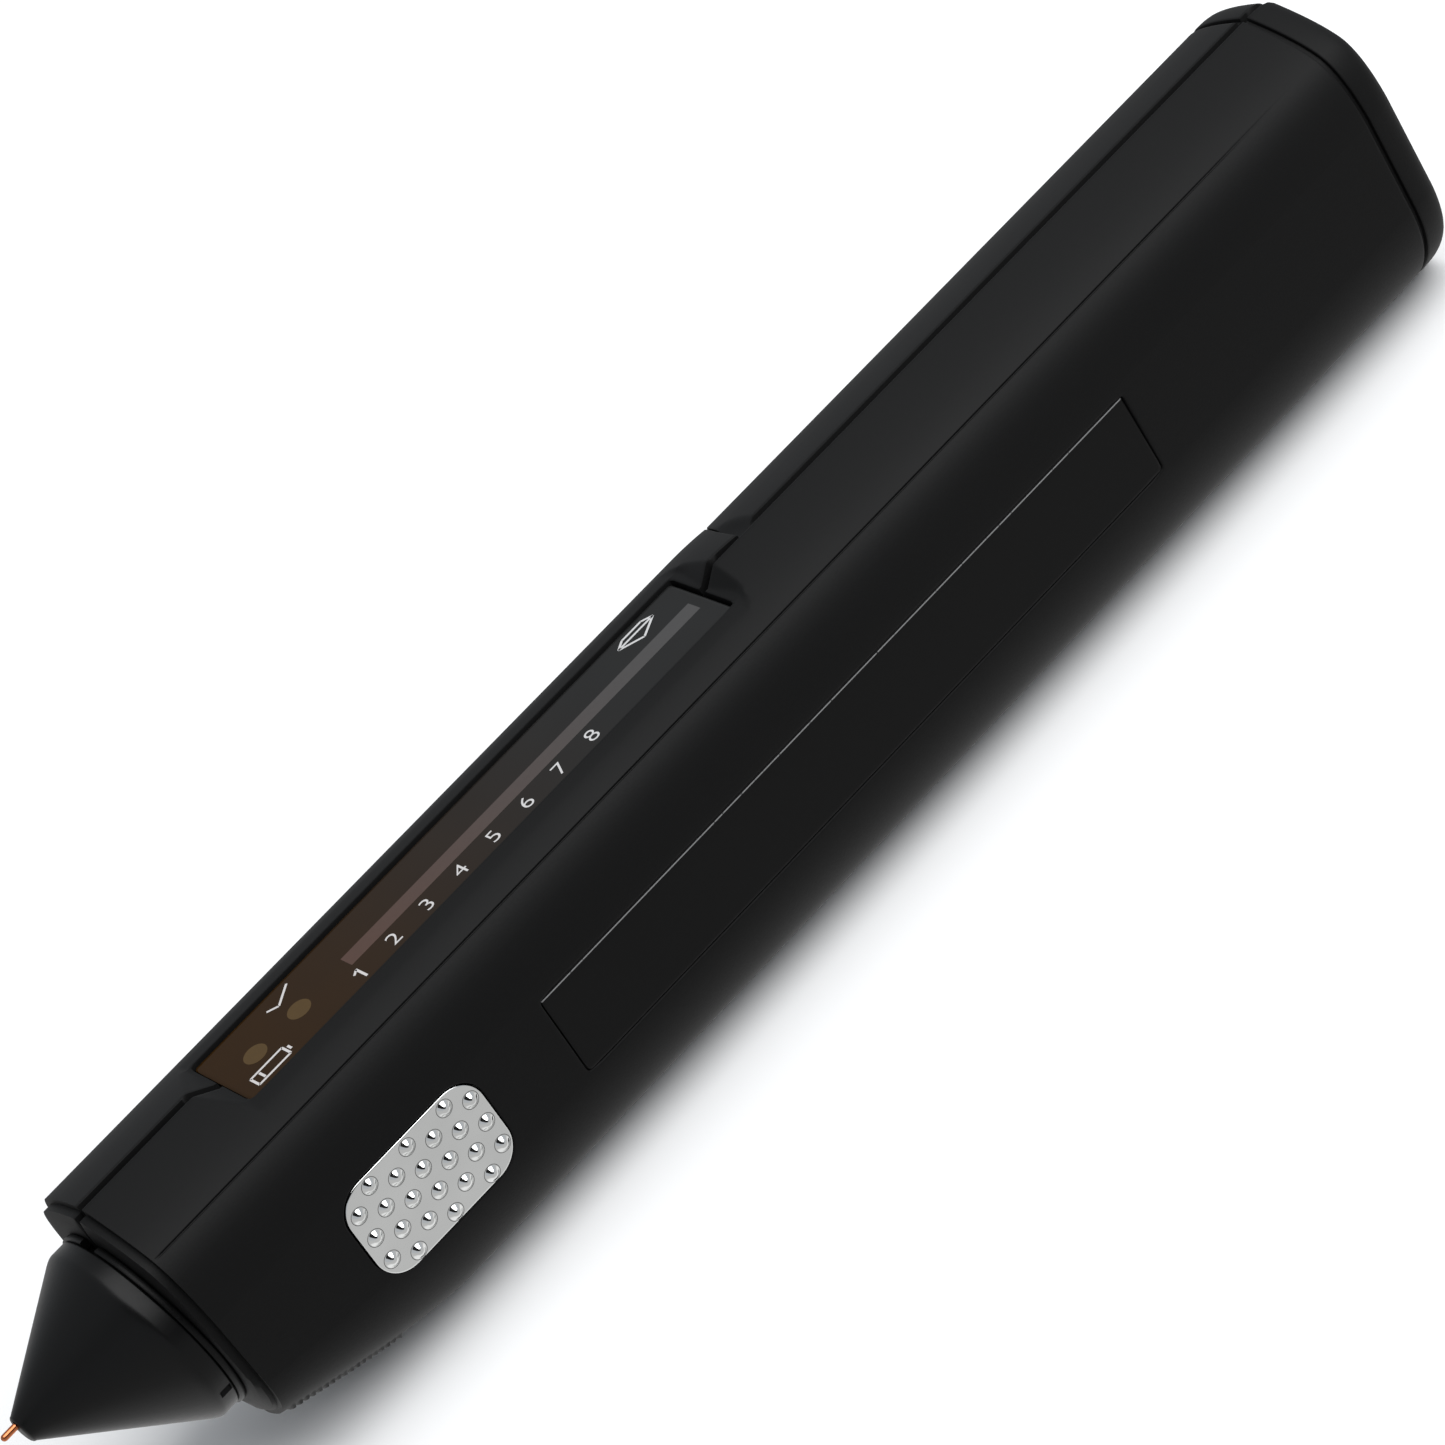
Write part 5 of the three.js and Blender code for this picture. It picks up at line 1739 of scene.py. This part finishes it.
class Shader:
    """A material being built round one Principled shader."""

    def __init__(self, name: str) -> None:
        """Starts a material with its surface and output.

        Args:
            name: the material's name.
        """
        self.material = bpy.data.materials.new(name)
        self.material.use_nodes = True
        self.tree = self.material.node_tree
        self.tree.nodes.clear()
        self.surface = self.node("ShaderNodeBsdfPrincipled")
        self.out = self.node("ShaderNodeOutputMaterial")
        self.tree.links.new(self.surface.outputs[0], self.out.inputs["Surface"])
        self.place = self.node("ShaderNodeTexCoord").outputs["Object"]

    def node(self, kind: str, settings: dict | None = None, values: dict | None = None) -> bpy.types.Node:
        """Adds a node.

        Args:
            kind: its Blender type.
            settings: properties, set first.
            values: numbers, colours or links for its inputs, by name or number.

        Returns:
            The node.
        """
        made = self.tree.nodes.new(kind)
        for key, value in (settings or {}).items():
            setattr(made, key, value)
        for key, value in (values or {}).items():
            self.feed(made.inputs[key], value)
        return made

    def feed(self, socket: bpy.types.NodeSocket, value: object) -> None:
        """Links a value to a socket, or sets a constant on it.

        Args:
            socket: the input.
            value: a value, another socket, a number or a colour.
        """
        if isinstance(value, Value):
            value = value.socket
        if isinstance(value, bpy.types.NodeSocket):
            self.tree.links.new(value, socket)
        else:
            socket.default_value = value

    def noise(
        self, size: float, detail: float = 2.0, stretch: Triple = (1.0, 1.0, 1.0), rough: float = 0.5
    ) -> Value:
        """Noise over the object's coordinates.

        Args:
            size: size of a grain in millimetres.
            detail: number of finer layers.
            stretch: how much longer a grain is along each axis.
            rough: weight of the finer layers.

        Returns:
            The noise, about 0.5.
        """
        scale = tuple(1 / (size * MM * k) for k in stretch)
        mapped = self.node("ShaderNodeMapping", {}, {"Vector": self.place, "Scale": scale})
        values = {"Vector": mapped.outputs[0], "Scale": 1.0, "Detail": detail, "Roughness": rough}
        return Value(self, self.node("ShaderNodeTexNoise", {}, values).outputs[0])

    def axis(self, which: int) -> Value:
        """One object coordinate in millimetres."""
        parts = self.node("ShaderNodeSeparateXYZ", {}, {0: self.place})
        return Value(self, parts.outputs[which]) * (1 / MM)

    def step(self, value: Value, low: float, high: float) -> Value:
        """Smooth rise from 0 to 1 between two values.

        Args:
            value: what is measured.
            low: where the rise starts.
            high: where it ends.

        Returns:
            The share.
        """
        ends = {"From Min": low, "From Max": high, "To Min": 0.0, "To Max": 1.0}
        made = self.node("ShaderNodeMapRange", {"interpolation_type": "SMOOTHSTEP"}, {"Value": value, **ends})
        return Value(self, made.outputs[0])

    def mix(self, share: Value, first: object, second: object) -> bpy.types.NodeSocket:
        """Colour between two colours."""
        made = self.node("ShaderNodeMix", {"data_type": "RGBA"}, {0: share, 6: first, 7: second})
        return made.outputs[2]

    def bump(self, height: Value, distance: float) -> bpy.types.NodeSocket:
        """Bumped normal from a height whose 1 stands for a distance in millimetres."""
        made = self.node("ShaderNodeBump", {}, {"Height": height, "Distance": distance * MM, "Strength": 1.0})
        return made.outputs[0]

    def split(self, plain: bpy.types.Node, mirrored: bpy.types.Node) -> None:
        """Shows one surface in mirrors and another to every other ray.

        Args:
            plain: what every other ray meets.
            mirrored: what shows in mirrors.
        """
        glossy = self.node("ShaderNodeLightPath").outputs["Is Glossy Ray"]
        both = self.node("ShaderNodeMixShader", {}, {0: glossy, 1: plain.outputs[0], 2: mirrored.outputs[0]})
        self.tree.links.new(both.outputs[0], self.out.inputs["Surface"])

    def set(self, **inputs: object) -> Material:
        """Sets inputs of the Principled shader and gives the material.

        Args:
            inputs: values by name, with underscores for spaces.

        Returns:
            The material.
        """
        for name, value in inputs.items():
            self.feed(self.surface.inputs[name.replace("_", " ")], value)
        return self.material


def shade(level: float, warmth: float = 0.0) -> tuple[float, ...]:
    """Grey of a linear level, a little warmer or cooler."""
    return (level * (1 + warmth), level, level * (1 - warmth), 1.0)


@dataclass(frozen=True)
class MouldedPlastic:
    """Black moulded plastic, finely grained, and smoother above a height on the body."""

    name: str
    level: float = 0.0025
    roughness: float = 0.57
    grain: float = 0.22
    grain_depth: float = 0.012
    specular: float = 0.16
    smooth_above: float | None = None

    def make(self) -> Material:
        """Builds the material.

        Returns:
            The finish.
        """
        look = Shader(self.name)
        broad = look.noise(9.0, 3.0, (2.5, 1.0, 1.0))
        grain = look.noise(self.grain, 3.0, rough=0.6)
        amount: Value | float = 1.0
        if self.smooth_above is not None:
            amount = 1.0 - look.step(look.axis(2), self.smooth_above - 0.3, self.smooth_above + 0.3) * 0.7
        return look.set(
            Base_Color=look.mix(broad, shade(self.level * 0.85, -0.03), shade(self.level * 1.15)),
            Roughness=(broad - 0.5) * 0.08 + (grain - 0.5) * 0.1 * amount + self.roughness,
            Normal=look.bump(grain * amount, self.grain_depth),
            Specular_IOR_Level=self.specular,
        )


@dataclass(frozen=True)
class LabelFilm:
    """Black label plate with a painted highlight along its upper edge: a fine bright line in its colour,
    broken here and there, where the edge would catch the light.
    """

    name: str = "label_film"
    # Heights between which the painted highlight runs along the upper edge, and how soft its sides are
    edge: Span = (17.84, 17.98)
    fade: float = 0.03

    def make(self) -> Material:
        """Builds the material.

        Returns:
            The finish.
        """
        look = Shader(self.name)
        grain = look.noise(0.3, 2.0)
        highlight_dashes = look.step(look.noise(0.5, 2.0, (1.0, 4.0, 4.0)), 0.3, 0.42)
        height, (low, high) = look.axis(2), self.edge
        rise = look.step(height, low, low + self.fade)
        # Painted highlight: the base colour turns light grey in dashes along the plate's upper edge
        line = rise * (1.0 - look.step(height, high - self.fade, high)) * highlight_dashes
        return look.set(
            Base_Color=look.mix(line, shade(0.0025), shade(0.2)),
            Roughness=0.4 + (grain - 0.5) * 0.06,
            Normal=look.bump(grain, 0.003),
            Specular_IOR_Level=0.15,
        )


@dataclass(frozen=True)
class SmokedWindow:
    """Tinted window, brown over the lamps and grey toward the rear, under a clear glossy face."""

    name: str = "smoked_window"
    turn: Span = (-47.0, -2.0)

    def make(self) -> Material:
        """Builds the material.

        Returns:
            The finish.
        """
        look = Shader(self.name)
        along = look.step(look.axis(0), *self.turn)
        cloud = look.noise(6.0, 2.0)
        tint = look.mix(along, (0.025, 0.0105, 0.0012, 1.0), (0.016, 0.0165, 0.0165, 1.0))
        return look.set(
            Base_Color=look.mix(cloud * 0.3, tint, (0.008, 0.006, 0.005, 1.0)),
            Roughness=0.08 + (look.noise(2.0, 2.0) - 0.5) * 0.03,
            Specular_IOR_Level=0.1,
        )


@dataclass(frozen=True)
class Print:
    """A print that shows through the window, fading from one shade to another along it."""

    name: str
    front: Triple
    rear: Triple
    turn: Span = (-45.0, 5.0)

    def make(self) -> Material:
        """Builds the material.

        Returns:
            The finish.
        """
        look = Shader(self.name)
        colour = look.mix(look.step(look.axis(0), *self.turn), (*self.front, 1.0), (*self.rear, 1.0))
        speck = look.noise(0.4, 2.0)
        return look.set(
            Base_Color=look.mix(speck * 0.12, colour, shade(0.01)),
            Roughness=0.16 + (speck - 0.5) * 0.04,
            Specular_IOR_Level=0.1,
        )


@dataclass(frozen=True)
class Metal:
    """A metal with fine scratches along one axis."""

    name: str
    colour: Triple
    roughness: float = 0.22
    stretch: Triple = (12.0, 1.0, 1.0)
    depth: float = 0.002

    def make(self) -> Material:
        """Builds the material.

        Returns:
            The finish.
        """
        look = Shader(self.name)
        lines = look.noise(0.25, 3.0, self.stretch)
        broad = look.noise(4.0, 2.0)
        dark = tuple(c * 0.86 for c in self.colour)
        return look.set(
            Base_Color=look.mix(broad, (*dark, 1.0), (*self.colour, 1.0)),
            Metallic=1.0,
            Roughness=(lines - 0.5) * 0.12 + (broad - 0.5) * 0.06 + self.roughness,
            Normal=look.bump(lines, self.depth),
        )


@dataclass(frozen=True)
class Board:
    """Green circuit board with copper runs under the lacquer."""

    name: str = "circuit_lacquer"

    def make(self) -> Material:
        """Builds the material.

        Returns:
            The finish.
        """
        look = Shader(self.name)
        runs = look.step(look.noise(1.6, 1.0, (3.0, 1.0, 1.0)), 0.52, 0.55)
        colour = look.mix(runs, (0.012, 0.07, 0.035, 1.0), (0.02, 0.11, 0.05, 1.0))
        rough = 0.4 + (look.noise(0.8) - 0.5) * 0.1
        return look.set(Base_Color=colour, Roughness=rough, Normal=look.bump(runs, 0.03))


@dataclass(frozen=True)
class PaleLamp:
    """Milky lamp moulding."""

    name: str = "milky_lamp"

    def make(self) -> Material:
        """Builds the material.

        Returns:
            The finish.
        """
        look = Shader(self.name)
        cloud = look.noise(1.2, 2.0)
        colour = look.mix(cloud, (0.62, 0.63, 0.60, 1.0), (0.75, 0.76, 0.72, 1.0))
        return look.set(Base_Color=colour, Roughness=0.3 + cloud * 0.08)


@dataclass(frozen=True)
class CellJacket:
    """Film round a cell, dark with a bright band at one end."""

    name: str = "cell_film"
    band: Span = (26.0, 34.0)
    fade: float = 0.2

    def make(self) -> Material:
        """Builds the material.

        Returns:
            The finish.
        """
        look = Shader(self.name)
        x = look.axis(0)
        start, end = (look.step(x, place, place + self.fade) for place in self.band)
        worn = look.noise(1.5, 3.0)
        colour = look.mix(start * (1.0 - end), (0.035, 0.04, 0.046, 1.0), (0.35, 0.22, 0.06, 1.0))
        return look.set(Base_Color=look.mix(worn * 0.2, colour, shade(0.02)), Roughness=0.3 + worn * 0.1)


@dataclass(frozen=True)
class Insides:
    """CAD nodes that keep their own shapes, by finish."""

    boards: tuple[str, ...] = ("display_board", "main_board")
    steels: tuple[str, ...] = (
        "probe_spring",
        "left_pad_finger",
        "right_pad_finger",
        "upper_battery_spring",
        "lower_battery_spring",
        "upper_front_contact",
        "lower_front_contact",
        "rear_contact_bridge",
        "front_cradle_screw",
        "rear_cradle_screw",
    )
    brasses: tuple[str, ...] = ("probe_guide", "probe_plunger")
    blacks: tuple[str, ...] = ("battery_cradle", "buzzer", "power_switch")
    lamps: tuple[str, ...] = ("light_bar", "ready_lamp", "low_battery_lamp")
    cells: tuple[str, ...] = ("upper_battery", "lower_battery")

    def dress(self, materials: dict[str, Material]) -> None:
        """Gives every kept node its finish.

        Args:
            materials: finishes by the names of this class's groups.
        """
        for kind, material in materials.items():
            for name in getattr(self, kind):
                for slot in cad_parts[name].material_slots:
                    slot.link = "OBJECT"
                    slot.material = material
                LOG.info("%s keeps its shape", name)


# Studio


@dataclass(frozen=True)
class Studio:
    """Pale floor, soft lamp and the camera of the photograph."""

    place: Triple = (-0.139154, -0.360371, 0.275737)
    right: Triple = (0.661797, -0.591037, -0.461233)
    up: Triple = (0.685554, 0.228075, 0.691400)
    back: Triple = (-0.303436, -0.773738, 0.556107)
    lens: float = 148.28
    sensor: float = 36.0
    clip: Span = (0.01, 20.0)
    floor_half: float = 3.0
    mirrored_floor: Span = (0.9, 0.54)
    floor_shade: Span = (11.5, 20.0)
    card: Span = (0.42, 0.15)
    card_back: float = 0.05
    key_place: Triple = (0.26, -0.32, 0.77)
    key_size: float = 1.1
    key_power: float = 10.8
    sky: tuple[float, ...] = (0.95, 0.99, 1.04, 1)
    sky_level: float = 0.5

    def camera(self) -> None:
        """Sets the camera where the photograph was taken."""
        data = bpy.data.cameras.new("camera")
        data.lens, data.sensor_width, data.sensor_fit = self.lens, self.sensor, "HORIZONTAL"
        data.clip_start, data.clip_end = self.clip
        made = linked("camera", data)
        turn = Matrix([self.right, self.up, self.back]).transposed().to_4x4()
        made.matrix_world = Matrix.Translation(self.place) @ turn
        bpy.context.scene.camera = made

    def sheet(self, name: str, middle: Array, halves: Array, material: Material) -> None:
        """A flat rectangle of the studio.

        Args:
            name: its name.
            middle: its middle.
            halves: its two half sides as vectors.
            material: its finish.
        """
        corners = [middle + halves[0] * a + halves[1] * b for a, b in ((-1, -1), (1, -1), (1, 1), (-1, 1))]
        data = bpy.data.meshes.new(name)
        data.from_pydata([tuple(corner) for corner in corners], [], [(0, 1, 2, 3)])
        data.materials.append(material)
        linked(name, data)

    def floor(self) -> None:
        """A plain pale floor, which the tester mirrors as even light, dimmer away from its feet."""
        look = Shader("studio_floor")
        look.set(Base_Color=shade(0.9), Roughness=0.9, Specular_IOR_Level=0.1)
        across = look.axis(1)
        away = look.step((across * across) ** 0.5, *self.floor_shade)
        colour = look.mix(away, *(shade(level) for level in self.mirrored_floor))
        look.split(look.surface, look.node("ShaderNodeEmission", {}, {"Color": colour, "Strength": 1.0}))
        self.sheet("floor", np.zeros(3), np.eye(3)[:2] * self.floor_half, look.material)

    def dark_card(self) -> None:
        """The dark gap round the camera, which shows as a short dash in every bump of the pads."""
        look = Shader("studio_card")
        look.set(Base_Color=shade(0.004), Roughness=0.8)
        look.split(look.node("ShaderNodeBsdfTransparent"), look.surface)
        middle = np.array(self.place) + np.array(self.back) * self.card_back
        halves = np.array([self.right, self.up]) * np.array(self.card)[:, None]
        self.sheet("card", middle, halves, look.material)

    def key_lamp(self) -> None:
        """A square soft lamp aimed at the tester."""
        data = bpy.data.lights.new("key", "AREA")
        data.shape, data.size, data.energy = "SQUARE", self.key_size, self.key_power
        turn = (-Vector(self.key_place)).to_track_quat("-Z", "Y").to_matrix().to_4x4()
        linked("key", data).matrix_world = Matrix.Translation(self.key_place) @ turn

    def world(self) -> None:
        """Even pale surroundings."""
        world = bpy.data.worlds.new("studio")
        bpy.context.scene.world = world
        world.use_nodes = True
        colour, strength = world.node_tree.nodes["Background"].inputs[:2]
        colour.default_value, strength.default_value = self.sky, self.sky_level

    def build(self) -> None:
        """Sets up the studio."""
        self.camera()
        self.floor()
        self.dark_card()
        self.key_lamp()
        self.world()
        bpy.context.scene.view_settings.view_transform = "Standard"


def main() -> None:
    """Builds the tester sub-assembly by sub-assembly, then the studio."""
    logging.basicConfig(level=logging.INFO, format="%(message)s")
    shell = MouldedPlastic("shell_black", smooth_above=25.4).make()
    smooth = MouldedPlastic(
        "smooth_black", roughness=0.34, grain=0.35, grain_depth=0.004, specular=0.2
    ).make()
    satin = MouldedPlastic("satin_black", roughness=0.4, grain=0.3, grain_depth=0.003).make()
    steel = Metal("spring_wire", (0.55, 0.56, 0.57), 0.28).make()
    Casing().build(shell, LabelFilm().make())
    Nose().build(smooth, satin, Metal("copper_pin", (0.60, 0.20, 0.085), 0.22).make())
    Display().build(
        SmokedWindow().make(),
        Print("bar_print", (0.082, 0.045, 0.034), (0.062, 0.061, 0.061)).make(),
        Print("lamp_print", (0.074, 0.045, 0.017), (0.076, 0.046, 0.018)).make(),
        Print("ink_print", (0.55, 0.53, 0.52), (0.55, 0.55, 0.55)).make(),
    )
    Pads().build(
        Metal("pad_plating", (0.90, 0.91, 0.90), 0.06).make(),
        # Dark metal of the rings that paint the shade round the bumps' feet
        Metal("bump_foot", (0.2, 0.2, 0.2), 0.3).make(),
    )
    PowerButton().build(smooth)
    Insides().dress(
        {
            "boards": Board().make(),
            "steels": steel,
            "brasses": Metal("turned_brass", (0.62, 0.47, 0.20), 0.3).make(),
            "blacks": satin,
            "lamps": PaleLamp().make(),
            "cells": CellJacket().make(),
        }
    )
    Studio().build()


if __name__ == "__main__":
    main()
